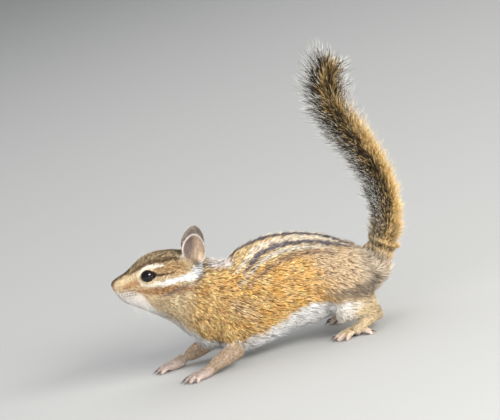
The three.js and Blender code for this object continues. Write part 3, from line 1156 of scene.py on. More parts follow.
    def _set_eyes(self) -> None:
        """Opens the lids over each eye, with a raised rim around the opening."""
        for side in (-1, 1):
            centre = mirrored(EYE.middle, side)
            away = self.surface.points - centre
            reach = np.linalg.norm(away, axis=1)
            near = (reach < EYE.radius * 2.2) & (away[:, 1] * side > -0.4)
            opening = EYE.opening(self.surface.points)
            slide = np.where(near & (np.abs(opening - 1.0) < 0.1), 1.0 / np.maximum(opening, 0.1) - 1.0, 0.0)
            back, high = side_view(self.surface.points)
            self.surface.points[:, 0] += (back - EYE.opening_middle[0]) * slide
            self.surface.points[:, 2] += (high - EYE.opening_middle[1]) * slide / math.cos(LOOK_DOWN)
            away = self.surface.points - centre
            reach = np.linalg.norm(away, axis=1)
            opening = EYE.opening(self.surface.points)
            inside = fall(0.86, 0.99, opening)
            rim = np.exp(-(((opening - 1.16) / 0.2) ** 2)) * EYE.rim
            lid = EYE.radius + self.lid_gap + rim
            over = (reach + lid + np.sqrt((reach - lid) ** 2 + 0.05)) / 2
            over = over * (1.0 - inside) + (EYE.radius - self.socket) * inside
            new = np.where(near & (reach < EYE.radius * 1.9), over, reach)
            self.surface.points = centre + away / np.maximum(reach, 1e-6)[:, None] * new[:, None]

    def _nose_and_mouth(self) -> None:
        """Presses in the nostrils, the line of the mouth and the groove of the lip."""
        points = self.surface.points
        back, high = side_view(points)
        mouth = MOUTH.cover(back, high) * (np.abs(points[:, 1]) < 7)
        pressed = nostrils(points) * self.nostril_depth + mouth * self.mouth_depth
        pressed = pressed + lip_groove(points) * self.groove_depth
        self.surface.points = points - self.surface.normals() * pressed[:, None]

    def _remesh(self) -> None:
        """Makes one even surface of the rough body."""
        self.piece = self._rough()
        self.piece.name = "hide"
        mesh = self.piece.data
        mesh.remesh_voxel_size = self.voxel * MM
        mesh.remesh_voxel_adaptivity = 0.0
        activate(self.piece)
        bpy.ops.object.voxel_remesh()
        mesh = self.piece.data
        quads = np.empty(len(mesh.polygons) * 4, dtype=np.int64)
        mesh.polygons.foreach_get("vertices", quads)
        edges = np.empty(len(mesh.edges) * 2, dtype=np.int64)
        mesh.edges.foreach_get("vertices", edges)
        self.surface = Mesh(to_animal(points_of(mesh)), quads.reshape(-1, 4), edges.reshape(-1, 2))

    def build(self) -> bpy.types.Object:
        """Models the skin.

        Returns:
            The skin as one piece.
        """
        self._remesh()
        self.masks = self._find_masks()
        fine = share_of(self.masks, Region.EAR, Region.FOREPAW, Region.HIND_FOOT, Region.TAIL)
        muzzle = fall(-42, -26, self.surface.points[:, 0]) * 0.55
        self._soften(np.clip(np.maximum(fine, muzzle), 0.0, 1.0))
        self.outline = self.surface.points.copy()
        self._sink()
        self._set_eyes()
        self._nose_and_mouth()
        self.surface.points = self.surface.spread(self.surface.points, 1, 0.3)
        self.surface.points[:, 2] = np.maximum(self.surface.points[:, 2], 0.0)
        set_points(self.piece.data, to_row(self.surface.points))
        self._unwrap()
        paint(self.piece.data, self._colours())
        hand_over(self.piece, HIDE.make())
        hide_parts(*(name for name in self.solids if not name.startswith("eye")))
        return self.piece

    def _unwrap(self) -> None:
        """Lays the skin out flat, in a map named OFBake."""
        layers = self.piece.data.uv_layers
        while layers:
            layers.remove(layers[0])
        layers.new(name="OFBake")
        with editing(self.piece):
            bpy.ops.uv.smart_project(angle_limit=math.radians(66), island_margin=0.001)

    def _colours(self) -> Array:
        """The skin's colours, with the coat's markings among them.

        Returns:
            A colour for each vertex.
        """
        places = self.surface.points
        colour = region_colours(self.outline, self.masks, self.surface.normals())
        furred = 1.0 - bare_share(places, self.masks)
        back, high = side_view(places)
        muzzle = fall(-30, -20, back) * share_of(self.masks, Region.HEAD)
        # Under the fur the skin takes the coat's colour at half brightness, less on the muzzle: undercoat
        # colour together with painted shade between the tufts.
        colour = colour * (1.0 - 0.5 * furred * (1.0 - 0.75 * muzzle))[:, None]
        # The nostrils, the groove of the lip and the line of the mouth are painted dark: painted shade in
        # these hollows.
        dark = np.maximum.reduce([nostrils(places), lip_groove(places) * 0.7, MOUTH.cover(back, high) * 0.6])
        return mix(mix(colour, NOSE_DARK, dark), EYE_LINE, fall(1.04, 1.16, EYE.opening(places)))


NOSTRIL = Trail(((0.75, 45.7, 0.16), (1.3, 45.7, 0.34), (1.8, 46.3, 0.2)), 0.4)
NOSTRIL_BARE = Trail(((0.6, 45.7, 0.5), (1.3, 45.6, 0.7), (1.8, 46.3, 0.55)), 0.3)
MOUTH = Trail(((-44.2, 41.9, 0.1), (-42.6, 41, 0.12), (-40.4, 40.1, 0.12), (-38.4, 39.6, 0.08)), 0.3)


NOSE_PAD_HIGH = 46.6
NOSE_PAD_HALF_HEIGHT = 1.35


def nose_pad(places: Array) -> Array:
    """The bare end of the nose, broad above and narrow below.

    Args:
        places: points in animal millimetres.

    Returns:
        From 0, off it, to 1, on it.
    """
    wide = np.clip(1.35 + 0.5 * (places[:, 2] - 46.4), 0.4, 1.6)
    reach = np.hypot(places[:, 1] / wide, (places[:, 2] - NOSE_PAD_HIGH) / NOSE_PAD_HALF_HEIGHT)
    return fall(0.85, 1.15, reach) * fall(-44.0, -42.8, places[:, 0])


def nostrils(places: Array, form: Trail = NOSTRIL) -> Array:
    """From 0 to 1, how far places are in a nostril, or on the bare skin about it."""
    return form.cover(np.abs(places[:, 1]), places[:, 2]) * fall(-43.4, -42.4, places[:, 0])


def lip_groove(places: Array) -> Array:
    """From 0 to 1, how far places are in the groove from the nose down the upper lip."""
    groove = np.exp(-((places[:, 1] / 0.42) ** 2)) * fall(-43.6, -42.4, places[:, 0])
    return groove * fall(45.4, 46.2, places[:, 2]) * rise(42.6, 43.4, places[:, 2])


def bare_share(places: Array, masks: Array) -> Array:
    """How bare the skin is: the nose, the soles, the toes and in part the ears.

    Args:
        places: points in animal millimetres.
        masks: how far each belongs to each region.

    Returns:
        From 0, furred, to 1, bare.
    """
    feet = share_of(masks, Region.FOREPAW, Region.HIND_FOOT)
    bare = nose_pad(places) + feet * (1.0 - rise(1.4, 3.6, places[:, 2]) * 0.8)
    return np.clip(bare + share_of(masks, Region.EAR) * 0.45, 0.0, 1.0)


def ear_colours(places: Array, normals: Array) -> Array:
    """The ears, tan inside with a pale rim and grey behind.

    Args:
        places: points in animal millimetres.
        normals: the way out at each.

    Returns:
        A colour for each point.
    """
    colour = np.zeros_like(places)
    for side in (-1, 1):
        across, up, opening = PINNA.axes(side)
        away = places - mirrored(PINNA.middle, side)
        wide = away @ across / PINNA.half_width
        tall = away @ up / PINNA.half_height
        reach = np.hypot(wide / (1.0 - 0.16 * tall), tall)
        facing = normals @ opening
        inside = mix(EAR_INSIDE, EAR_SHADE, rise(-0.2, 0.45, wide * side) * 0.9)
        inside = mix(inside, EAR_SHADE * 0.3, fall(-0.85, -0.5, tall))
        furry = EAR_BACK * (1.0 + 0.22 * EAR_FUR.at(places) + 0.5 * rise(0.72, 0.98, reach))[:, None]
        skin = mix(furry, inside, rise(-0.1, 0.25, facing))
        edge = rise(0.8, 0.9, reach) * rise(-0.9, -0.5, tall) * rise(-0.5, 0.1, facing)
        own = np.where(places[:, 1] < 0, -1, 1) == side
        colour = np.where(own[:, None], mix(skin, EAR_RIM, edge), colour)
    return colour


def limb_colours(places: Array, region: Region) -> Array:
    """The legs and feet.

    Args:
        places: points in animal millimetres.
        region: which part of a leg they are on.

    Returns:
        A colour for each point.
    """
    low = fall(1.0, 4.0, places[:, 2])
    blotch = 0.5 + 0.5 * LIMB_BLOTCHES.at(places)
    if region is Region.FOREARM:
        return mix(SHOULDER_TAN * 0.9, PAW * 0.95, 0.45 + 0.3 * blotch)
    if region is Region.FOREPAW:
        paw = mix(mix(PAW, PAW_PINK, blotch * 0.6), PAW_PINK * 0.8, low * 0.6)
        return mix(paw, mix(SHOULDER_TAN, PAW, 0.6), rise(3.0, 6.0, places[:, 2]))
    if region is Region.SHANK:
        fur = mix(HAUNCH, FOOT_FUR, 0.3 + 0.4 * blotch)
        return mix(fur, BELLY_SHADE, fall(50, 59, places[:, 0] + 1.6 * SHANK_EDGE.at(places)) * 0.8)
    return mix(mix(FOOT_FUR, PAW_PINK, low * 0.9), PAW, blotch * 0.25)


def region_colours(places: Array, masks: Array, normals: Array) -> Array:
    """The coat's colour at places on the skin.

    Args:
        places: points in animal millimetres.
        masks: how far each belongs to each region.
        normals: the way out at each.

    Returns:
        A colour for each point.
    """
    markings = Markings()
    back, high = side_view(places)
    soft = 1.6 + 2.8 * fall(33, 39, high)
    behind = HEAD_END.behind(back + 0.6 * HEAD_EDGE.at(places), high, soft)
    torso = mix(markings.head(places), markings.torso(places), behind)
    share = TAIL.nearest(places)[0]
    tail = markings.tail(tail_front(places)[0], share, np.full(len(share), 0.7))[1]
    chosen = {Region.TAIL: tail * 0.6, Region.EAR: ear_colours(places, normals)}
    for region in (Region.FOREARM, Region.FOREPAW, Region.SHANK, Region.HIND_FOOT):
        chosen[region] = limb_colours(places, region)
    weight = masks / np.maximum(masks.sum(axis=1, keepdims=True), 1e-6)
    colour = np.zeros_like(places)
    for region in Region:
        colour += chosen.get(region, torso) * weight[:, region.value][:, None]
    pad = mix(NOSE_PINK, NOSE_DARK, rise(46.4, 47.4, high) * 0.7)
    return mix(colour, pad, np.maximum(nose_pad(places), nostrils(places, NOSTRIL_BARE) * 0.9))


def tail_front(places: Array) -> tuple[Array, Array]:
    """How far each place is on the side of the tail that faces the head.

    Args:
        places: points in animal millimetres.

    Returns:
        From 1, facing the head, to -1, facing away, and the way out of the tail at each.
    """
    _, way, middle, _ = TAIL.nearest(places)
    out = places - middle
    out = unit(out - way * (out * way).sum(axis=1, keepdims=True))
    ahead = np.stack([-way[:, 2], np.zeros(len(way)), way[:, 0]], axis=1)
    return (out * ahead).sum(axis=1), out


# how the hair of the body lies: at (back, height), it points (back, up), as far around as the reach
FLOW_REACH = 5.5
FLOWS: tuple[tuple[float, float, float, float], ...] = (
    (-45, 49, 0.9, 0.45), (-45, 44, 0.9, -0.1), (-41, 39, 0.85, -0.5), (-38, 50, 0.9, 0.4),
    (-36, 44, 1.0, 0.0), (-34, 36, 0.8, -0.6), (-28, 55, 1.0, 0.15), (-28, 41, 1.0, -0.1),
    (-28, 32, 0.75, -0.65), (-18, 56, 1.0, -0.05), (-18, 46, 1.0, -0.05), (-18, 36, 0.9, -0.42),
    (-18, 22, 0.55, -0.83), (-6, 50, 0.9, -0.4), (-6, 40, 0.85, -0.5), (-8, 28, 0.7, -0.7),
    (-10, 14, 0.55, -0.83), (4, 45, 0.97, -0.1), (4, 32, 0.85, -0.5), (2, 16, 0.8, -0.6),
    (14, 48, 0.95, 0.25), (16, 34, 0.92, -0.35), (14, 16, 0.94, -0.34), (14, 4, 1.0, 0.0),
    (28, 50, 1.0, 0.0), (30, 36, 0.97, -0.2), (30, 20, 0.97, -0.25), (30, 8, 0.98, -0.1),
    (44, 46, 0.95, -0.3), (44, 34, 0.93, -0.35), (44, 20, 0.8, -0.6), (42, 8, 0.98, -0.15),
    (56, 40, 0.87, -0.5), (56, 28, 0.8, -0.6), (54, 14, 0.75, -0.66), (64, 34, 0.9, -0.2),
    (66, 24, 0.8, -0.55), (66, 14, 0.8, -0.55), (72, 28, 0.75, 0.6),
)


def lie_of_coat(places: Array, masks: Array, normals: Array) -> Array:
    """The way the hair lies at places on the skin.

    Args:
        places: points in animal millimetres.
        masks: how far each belongs to each region.
        normals: the way out at each.

    Returns:
        A direction along the skin for each point.
    """
    back, high = side_view(places)
    total = np.zeros_like(places)
    for x, y, ahead, upward in FLOWS:
        weight = np.exp(-((back - x) ** 2 + (high - y) ** 2) / (2 * FLOW_REACH**2)) + 1e-9
        total += weight[:, None] * np.array([ahead, 0.0, upward])
    flow = unit(total)
    straight = {
        Region.UPPER_ARM: (0.35, 0.0, -0.95), Region.FOREARM: (-0.9, 0.0, -0.4),
        Region.FOREPAW: (-1.0, 0.0, -0.15), Region.THIGH: (0.78, 0.0, -0.62),
        Region.SHANK: (0.9, 0.0, -0.4), Region.HIND_FOOT: (-0.95, 0.0, -0.35),
        Region.EAR: (0.36, 0.0, 0.93),
    }
    body = 1.0 - share_of(masks, *straight) - share_of(masks, Region.TAIL)
    lie = flow * np.clip(body, 0.001, 1.0)[:, None]
    for region, way in straight.items():
        lie += masks[:, region.value][:, None] * np.array(way)
    gap = np.linalg.norm(places - TAIL.nearest(places)[2], axis=1)
    near_tail = fall(5.0, 12.0, gap) * rise(0.0, 0.5, share_of(masks, Region.RUMP))
    lie = mix(lie, TAIL.way_up(places), np.maximum(near_tail, share_of(masks, Region.TAIL)))
    lie -= normals * (lie * normals).sum(axis=1, keepdims=True)
    return unit(lie)


@dataclass
class Roots:
    """Where tufts grow.

    places are on the skin, outline on the coat's surface outside them, and flat on the flat skin.
    """

    places: Array
    outline: Array
    normals: Array
    masks: Array
    flat: Array

    def pick(self, chosen: Array) -> Roots:
        """The roots with the given numbers."""
        columns = (self.places, self.outline, self.normals, self.masks, self.flat)
        return Roots(*(column[chosen] for column in columns))

    def share(self, *regions: Region) -> Array:
        """How far each root belongs to the regions together."""
        return share_of(self.masks, *regions)


@dataclass(frozen=True)
class TuftForm:
    """The form of a tuft: where its rings are along it, and how wide each is for its root."""

    shares: tuple[float, ...]
    widths: tuple[float, ...]

    def faces(self) -> Array:
        """A tuft's triangles.

        Returns:
            Its root, its sides and its tip, as numbers of its vertices.
        """
        rings = len(self.shares)
        found = [(0, 2, 1)]
        for ring in range(rings - 1):
            for side in range(3):
                a, b = ring * 3 + side, ring * 3 + (side + 1) % 3
                found += [(a, b, b + 3), (a, b + 3, a + 3)]
        last = (rings - 1) * 3
        found += [(last + side, last + (side + 1) % 3, rings * 3) for side in range(3)]
        return np.array(found)


BODY_TUFT = TuftForm((0.0, 0.55), (1.0, 0.9))
TAIL_TUFT = TuftForm((0.0, 0.7, 0.8), (1.0, 0.9, 0.62))


@dataclass
class Coat:
    """The fur, as many thin closed tufts that lie along the body.

    patch is a tuft's size on the flat skin, sunk how far its root is inside the skin, most the
    number of triangles in a piece, guards the share of longer hairs that stand out, and speckle how
    much the tufts differ in brightness.
    """

    hide: Hide
    seed: int = 7
    patch: float = 0.003
    sunk: float = 0.25
    most: int = 195000
    guards: float = 0.02
    speckle: float = 0.32
    count: int = field(default=0, init=False)

    def _triangles(self) -> tuple[Array, Array]:
        """Cuts the skin's faces in two.

        Returns:
            Its triangles as numbers of vertices, and their corners on the flat skin.
        """
        quads = self.hide.surface.quads
        layer = self.hide.piece.data.uv_layers["OFBake"].uv
        flat = np.empty(len(layer) * 2, dtype=np.float32)
        layer.foreach_get("vector", flat)
        flat = flat.reshape(-1, 4, 2)
        halves = ([0, 1, 2], [0, 2, 3])
        return tuple(np.concatenate([given[:, half] for half in halves]) for given in (quads, flat))

    def roots(self, rng: np.random.Generator) -> Roots:
        """Scatters the roots of all tufts over the skin, closer where the coat is finer.

        Args:
            rng: the random numbers to use.

        Returns:
            The roots.
        """
        surface = self.hide.surface
        triangles, corners = self._triangles()
        points = surface.points
        a, b, c = (points[triangles[:, i]] for i in range(3))
        area = np.linalg.norm(np.cross(b - a, c - a), axis=1) / 2
        density = self.hide.masks @ table("density") * self._growth(points)
        counts = rng.poisson(area * density[triangles].mean(axis=1))
        chosen = np.repeat(np.arange(len(triangles)), counts)
        one, two = np.sqrt(rng.random(len(chosen))), rng.random(len(chosen))
        weights = np.stack([1 - one, one * (1 - two), one * two], axis=1)[..., None]
        columns = (points, self.hide.outline, surface.normals(), self.hide.masks)
        places, outline, normals, masks = (
            (column[triangles[chosen]] * weights).sum(axis=1) for column in columns
        )
        roots = Roots(places, outline, unit(normals), masks, (corners[chosen] * weights).sum(axis=1))
        self._start_tail(roots)
        return roots

    def _start_tail(self, roots: Roots) -> None:
        """Lets the tail's hair begin on the end of the rump, so that no edge shows between them.

        Args:
            roots: the roots, whose masks and normals are changed there.
        """
        share, _, middle, _ = TAIL.nearest(roots.places)
        gap = np.linalg.norm(roots.places - middle, axis=1)
        moved = roots.share(Region.RUMP) * (rise(0.02, 0.09, share) * fall(7.5, 10.5, gap))
        roots.masks[:, Region.TAIL.value] += moved
        roots.masks[:, Region.RUMP.value] -= moved
        out = tail_front(roots.places)[1]
        roots.normals = unit(mix(roots.normals, out, np.clip(roots.share(Region.TAIL), 0.0, 1.0)))

    def _growth(self, places: Array) -> Array:
        """Where hair grows: not on the eye, in the nostrils or under the feet, and closest on the nose.

        Args:
            places: points in animal millimetres.

        Returns:
            How many times closer than elsewhere, 0 being bare.
        """
        opening = EYE.opening(places)
        back = side_view(places)[0]
        lids = rise(1.1, 1.22, opening) * (1.0 + 0.8 * (opening < 2.0))
        growth = np.where(np.abs(places[:, 1]) > 3, lids, 1.0)
        growth = growth * (1.5 - 0.5 * rise(-42, -32, back)) * (2.2 - 1.2 * rise(-44, -40, back))
        growth = growth * (1.0 - nostrils(places, NOSTRIL_BARE)) * (1.0 - nose_pad(places))
        return growth * (1.0 - 0.8 * lip_groove(places)) * rise(0.5, 1.3, places[:, 2])

    def _tail_lengths(self, roots: Roots, rng: np.random.Generator) -> Array:
        """The lengths that take the tail's hairs out to its breadth.

        Args:
            roots: where the tufts grow.
            rng: the random numbers to use.

        Returns:
            A length for each tuft.
        """
        share, _, middle, broad = TAIL.nearest(roots.places)
        radius = np.linalg.norm(roots.places - middle, axis=1)
        front = tail_front(roots.places)[0]
        shortest = 0.62 + 0.3 * rise(0.3, 0.7, front)
        broad = broad * (1.0 + 0.12 * rise(0.3, 0.8, front))
        lift = math.radians(COATS[Region.TAIL].lift)
        reach = (broad - radius) / math.sin(lift) * (shortest + (1.2 - shortest) * rng.random(len(share)))
        return np.maximum(reach * (0.5 + 0.5 * rise(0.03, 0.2, share)), 3.8)

    def _lengths(self, roots: Roots, rng: np.random.Generator) -> Array:
        """How long the tufts are.

        Args:
            roots: where they grow.
            rng: the random numbers to use.

        Returns:
            A length for each tuft.
        """
        length = roots.masks @ table("length")
        back, high = side_view(roots.outline)
        head = roots.share(Region.HEAD)
        length *= 1.0 - 0.52 * head * fall(-44, -24, back)
        length *= 1.0 - 0.35 * head * fall(-45.5, -41, back)
        eye = np.clip((EYE.opening(roots.places) - 0.95) / 1.3, 0.36, 1.0)
        length *= np.where(head > 0.5, eye, 1.0)
        ear = np.hypot((back + 6.2) / 6.5, (high - 50) / 4.5)
        length *= np.where(head > 0.3, 0.45 + 0.55 * rise(0.8, 1.4, ear), 1.0)
        tail = roots.share(Region.TAIL)
        length = length * (1.0 - tail) + self._tail_lengths(roots, rng) * tail
        throat = rise(0.0, 0.8, -roots.normals[:, 2]) * rise(-40, -28, back)
        length *= 1.0 + 0.35 * throat * roots.share(Region.HEAD, Region.NECK)
        belly = 1.0 - BELLY_EDGE.above(back, high, 3.0)
        length *= 1.0 + 0.15 * belly * roots.share(Region.CHEST, Region.LOINS, Region.RUMP)
        length *= 1.0 + 0.3 * rise(60, 68, back) * fall(18, 26, high) * roots.share(Region.RUMP)
        under_tail = rise(64, 70, back) * rise(13, 18, high) * fall(27, 32, high)
        length *= 1.0 + 0.6 * under_tail * roots.share(Region.RUMP)
        return length * rng.uniform(0.72, 1.12, len(length)) * (1.0 + 0.08 * LONG_AND_SHORT.at(roots.places))

    def _shades(self, roots: Roots, seen: Array, rng: np.random.Generator) -> list[Array]:
        """The colours of each tuft at its root, middle and tip.

        Args:
            roots: where the tufts grow.
            seen: where the outer half of each tuft shows.
            rng: the random numbers to use.

        Returns:
            Three colours for each tuft.
        """
        size = len(seen)
        colour = region_colours(seen, roots.masks, roots.normals)
        furred = 1.0 - bare_share(roots.places, roots.masks)
        back, high = side_view(seen)
        head = roots.share(Region.HEAD)
        crown = FACE_TOP.above(back, high, 1.0) * head + roots.share(Region.NECK) * rise(38, 44, high)
        muzzle = fall(-38, -30, back) * head
        pale = rise(0.4, 0.7, colour.min(axis=1))
        arm = roots.share(Region.FOREARM)
        spread = self.speckle * rng.normal(size=size) + 0.18 * FINE_SPECKLE.at(seen)
        spread += 0.08 * BROAD_SPECKLE.at(seen)
        spread *= 1.0 - 0.55 * np.maximum(pale, muzzle)
        haunch = rise(38, 50, back)
        spread *= (1.0 - 0.5 * haunch) * (1.0 + 0.4 * crown) * (1.0 - 0.4 * arm)
        colour = colour * np.exp(spread * furred - 0.03)[:, None]
        pick = rng.random(size)
        dark_share = 0.12 * (1.0 - 0.8 * pale) * (1.0 - 0.6 * arm) * (1.0 - 0.4 * haunch) + 0.34 * crown
        colour = mix(colour, colour * 0.27, (pick < dark_share) * furred)
        # A few tufts get much paler, whiter tips: partly pale hairs, partly a painted highlight.
        pale_tip_highlight = mix(colour * 1.5, WHITE, 0.22)
        tip = mix(colour * 1.25, pale_tip_highlight, (pick > 0.84) * furred * 0.8 * (1.0 - muzzle))
        dark_tip = (pick > dark_share) & (pick < dark_share + 0.12 * (1.0 - pale))
        tip = mix(tip, colour * 0.3, dark_tip * furred)
        # Each root is mixed towards the undercoat and then darkened: undercoat colour together with painted
        # shade where the tufts lie over one another.
        root = mix(colour, UNDERCOAT, 0.5 * furred * (1 - pale))
        root = root * (1.0 - 0.5 * furred * (1 - 0.75 * pale))[:, None]
        return [root, colour * (1.0 - 0.06 * furred)[:, None], tip]

    def _tail_shades(self, roots: Roots, rng: np.random.Generator) -> list[Array]:
        """The colours of the tail's hairs.

        Args:
            roots: where they grow.
            rng: the random numbers to use.

        Returns:
            Four colours for each hair, from its root to its tip.
        """
        size = len(roots.places)
        front = tail_front(roots.places)[0] + 0.05 * rng.normal(size=size)
        share = TAIL.nearest(roots.places)[0] + 0.02 * rng.normal(size=size)
        wild = np.exp(0.25 * rng.normal(size=size))[:, None]
        return [band * wild for band in Markings().tail(front, share, rng.random(size))]

    def _tufts(self, roots: Roots, form: TuftForm, rng: np.random.Generator) -> tuple[Array, Array, Array]:
        """Models tufts.

        Args:
            roots: where they grow.
            form: their form.
            rng: the random numbers to use.

        Returns:
            The vertices of each tuft, their colours and their places on the flat skin.
        """
        size = len(roots.places)
        tail = roots.share(Region.TAIL)
        lie = lie_of_coat(roots.outline, roots.masks, roots.normals)
        aside = np.cross(roots.normals, lie)
        stray = 0.16 * BROAD_STRAY.at(roots.places) + 0.1 * FINE_STRAY.at(roots.places)
        stray += 0.12 * rng.normal(size=size)
        lie = unit(lie + aside * stray[:, None])
        aside = unit(np.cross(roots.normals, lie))
        length = self._lengths(roots, rng)
        widest = np.maximum(0.17 * length, 0.13)
        width = np.minimum(roots.masks @ table("width"), widest) * rng.uniform(0.7, 1.2, size)
        lift = np.radians(roots.masks @ table("lift")) * (1.0 + 0.24 * rng.normal(size=size)).clip(0.4, 1.8)
        up, _, core, _ = TAIL.nearest(roots.places)
        outside = rise(3.2, 5.6, np.linalg.norm(roots.places - core, axis=1))
        lift *= 1.0 - tail * fall(0.03, 0.16, up) * (0.62 + 0.36 * outside)
        crest = tail * rise(0.88, 0.97, up) * rng.random(size)
        plain = roots.share(Region.TAIL, Region.EAR, Region.FOREPAW)
        guard = (rng.random(size) < self.guards) * (1.0 - plain)
        lift *= (1.0 - 0.9 * crest) * (1 + 0.6 * guard)
        length *= (1.0 - 0.32 * crest) * (1 + 0.2 * guard)
        width = width * (1 - 0.45 * guard)
        seen = roots.outline + lie * (length * 0.4 * (1.0 - tail))[:, None]
        shades = self._shades(roots, seen, rng)
        if form is TAIL_TUFT:
            shades = self._tail_shades(roots, rng)
        over = unit(np.cross(lie, aside))
        count = len(form.shares) * 3 + 1
        vertices = np.empty((size, count, 3))
        ends = list(form.shares) + [1.0]
        middle = roots.places - roots.normals * np.minimum(self.sunk, length * 0.08)[:, None]
        for ring, (share, wide) in enumerate(zip(form.shares, form.widths)):
            for i, turn in enumerate((math.pi / 2, math.pi * 7 / 6, math.pi * 11 / 6)):
                out = aside * math.cos(turn) - over * math.sin(turn) * 0.6
                vertices[:, ring * 3 + i] = middle + out * (width / 2 * wide)[:, None]
            bent = lift * (1.35 - (0.85 - 0.4 * tail) * (share + ends[ring + 1]) / 2)
            way = lie * np.cos(bent)[:, None] + roots.normals * np.sin(bent)[:, None]
            middle = middle + way * (length * (ends[ring + 1] - share))[:, None]
        vertices[:, -1] = middle
        vertices[:, :, 2] = np.maximum(vertices[:, :, 2], 0.02)
        colours = np.stack([shade for shade in shades[:-1] for _ in range(3)] + shades[-1:], axis=1)
        flat = np.repeat(roots.flat[:, None, :], count, axis=1)
        flat[:, 1::3] += np.array([self.patch, 0.0])
        flat[:, :, 1] += np.linspace(0.0, self.patch, count)
        return vertices, colours, flat

    def build(self) -> list[bpy.types.Object]:
        """Models the coat.

        Returns:
            Its pieces, each with no more triangles than most.
        """
        rng = np.random.default_rng(self.seed)
        roots = self.roots(rng)
        on_tail = roots.share(Region.TAIL) > 0.5
        on_head = roots.share(Region.HEAD, Region.EAR) > 0.5
        areas = (
            ("tail", on_tail, TAIL_TUFT, "tail"),
            ("head", on_head & ~on_tail, BODY_TUFT, "tawny"),
            ("body", ~(on_tail | on_head), BODY_TUFT, "tawny"),
        )
        material = HAIR.make()
        pieces = []
        for name, chosen, form, slot in areas:
            faces = form.faces()
            numbers = np.flatnonzero(chosen)
            numbers = numbers[np.argsort(roots.places[numbers, 0], kind="stable")]
            step = self.most // len(faces)
            for n, start in enumerate(range(0, len(numbers), step)):
                tufts = self._tufts(roots.pick(numbers[start:start + step]), form, rng)
                piece = tuft_piece(f"coat_{name}_{n + 1}", faces, *tufts)
                hand_over(piece, material)
                pieces.append(piece)
        self.count = len(roots.places)
        return pieces


def tuft_piece(name: str, faces: Array, vertices: Array, colours: Array, flat: Array) -> bpy.types.Object:
    """Makes one object of many tufts.

    Args:
        name: the piece's name.
        faces: a tuft's triangles.
        vertices: the places of each tuft's vertices, in animal millimetres.
        colours: a colour for each of them.
        flat: its place on the flat skin.

    Returns:
        The piece.
    """
    size, each = vertices.shape[:2]
    faces = (faces[None] + (np.arange(size) * each)[:, None, None]).reshape(-1, 3)
    mesh = bpy.data.meshes.new(name)
    mesh.vertices.add(size * each)
    mesh.vertices.foreach_set("co", to_row(vertices.reshape(-1, 3)).ravel())
    mesh.loops.add(len(faces) * 3)
    mesh.loops.foreach_set("vertex_index", faces.ravel())
    mesh.polygons.add(len(faces))
    mesh.polygons.foreach_set("loop_start", np.arange(0, len(faces) * 3, 3))
    mesh.update(calc_edges=True)
    layer = mesh.uv_layers.new(name="OFBake")
    layer.uv.foreach_set("vector", flat.reshape(-1, 2)[faces.ravel()].ravel().astype(np.float32))
    paint(mesh, colours.reshape(-1, 3))
    return put(name, mesh)


@dataclass
class Eyes:
    """The two wet black eyes, each with its clear bulge."""

    bulge: float = 0.22

    def build(self) -> list[bpy.types.Object]:
        """Models the eyes from spheres.

        Returns:
            The two pieces.
        """
        material = WET_EYE.make()
        pieces = []
        for side, word in ((-1, "left"), (1, "right")):
            piece, ball = start_ball(f"eyeball_{word}", 64, 40, EYE.radius)
            facing = unit(ball) @ unit(np.array([-0.25, side * 0.95, 0.12]))
            ball = ball * (1.0 + self.bulge / EYE.radius * rise(0.62, 0.95, facing))[:, None]
            set_points(piece.data, to_row(ball + mirrored(EYE.middle, side)))
            ring = rise(0.55, 0.72, facing) * fall(0.74, 0.84, facing)
            paint(piece.data, mix(EYE_BLACK, IRIS, ring * 0.6))
            hand_over(piece, material)
            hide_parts(f"eye_{word}")
            pieces.append(piece)
        return pieces


@dataclass
class Claws:
    """The dark curved claws on all toes.

    arch is how far a claw curves up between its ends, and rooted how far it reaches into its toe.
    """

    root_radius: float = 0.36
    arch: float = 0.3
    rooted: float = 1.0

    def _claw(self, name: str, solid: bpy.types.Object, paw: bpy.types.Object) -> bpy.types.Object:
        """Models one claw from a sphere, from the toe to the tip of its solid.

        Args:
            name: the claw's name.
            solid: its solid in the frame.
            paw: the solid of the paw it grows on.

        Returns:
            The claw.
        """
        places = to_animal(points_of(solid.data))
        reach = np.linalg.norm(places - to_animal(points_of(paw.data)).mean(axis=0), axis=1)
        tip = places[reach.argmax()]
        root = places[reach <= np.quantile(reach, 0.3)].mean(axis=0)
        along = root - tip
        long = np.linalg.norm(along)
        along = along * (1.0 + self.rooted / long)
        long += self.rooted
        piece, ball = start_ball(f"horn_{name}", 14, 16)
        share = np.arccos(np.clip(-ball[:, 2], -1, 1)) / math.pi
        away = along / long
        aside = unit(np.cross(away, np.array([0.0, 0.0, 1.0])))
        over = np.cross(aside, away)
        radius = self.root_radius * np.sin(np.clip(share * 1.2, 0.0, 1.0) * math.pi / 2) ** 0.8
        turn = unit(ball[:, :2] + 1e-9)
        closed = np.hypot(ball[:, 0], ball[:, 1]) > 1e-4
        new = tip + along * share[:, None] + over * (self.arch * np.sin(share * math.pi))[:, None]
        new = new + aside * (turn[:, :1] * (radius * closed)[:, None] * 0.75)
        new = new + over * (turn[:, 1:] * (radius * closed)[:, None])
        new[:, 2] = np.maximum(new[:, 2], 0.0)
        set_points(piece.data, to_row(new))
        paint(piece.data, mix(CLAW_TIP, CLAW_ROOT, share))
        return piece

    def build(self, frame: dict) -> list[bpy.types.Object]:
        """Models all claws.

        Args:
            frame: the loaded frame.

        Returns:
            One piece for each claw.
        """
        material = HORN.make()
        pieces = []
        for name, solid in frame["nodes"].items():
            if not name.startswith("claw"):
                continue
            piece = self._claw(name, solid, frame["nodes"][name[len("claw_"):-2]])
            hand_over(piece, material)
            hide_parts(name)
            pieces.append(piece)
        return pieces


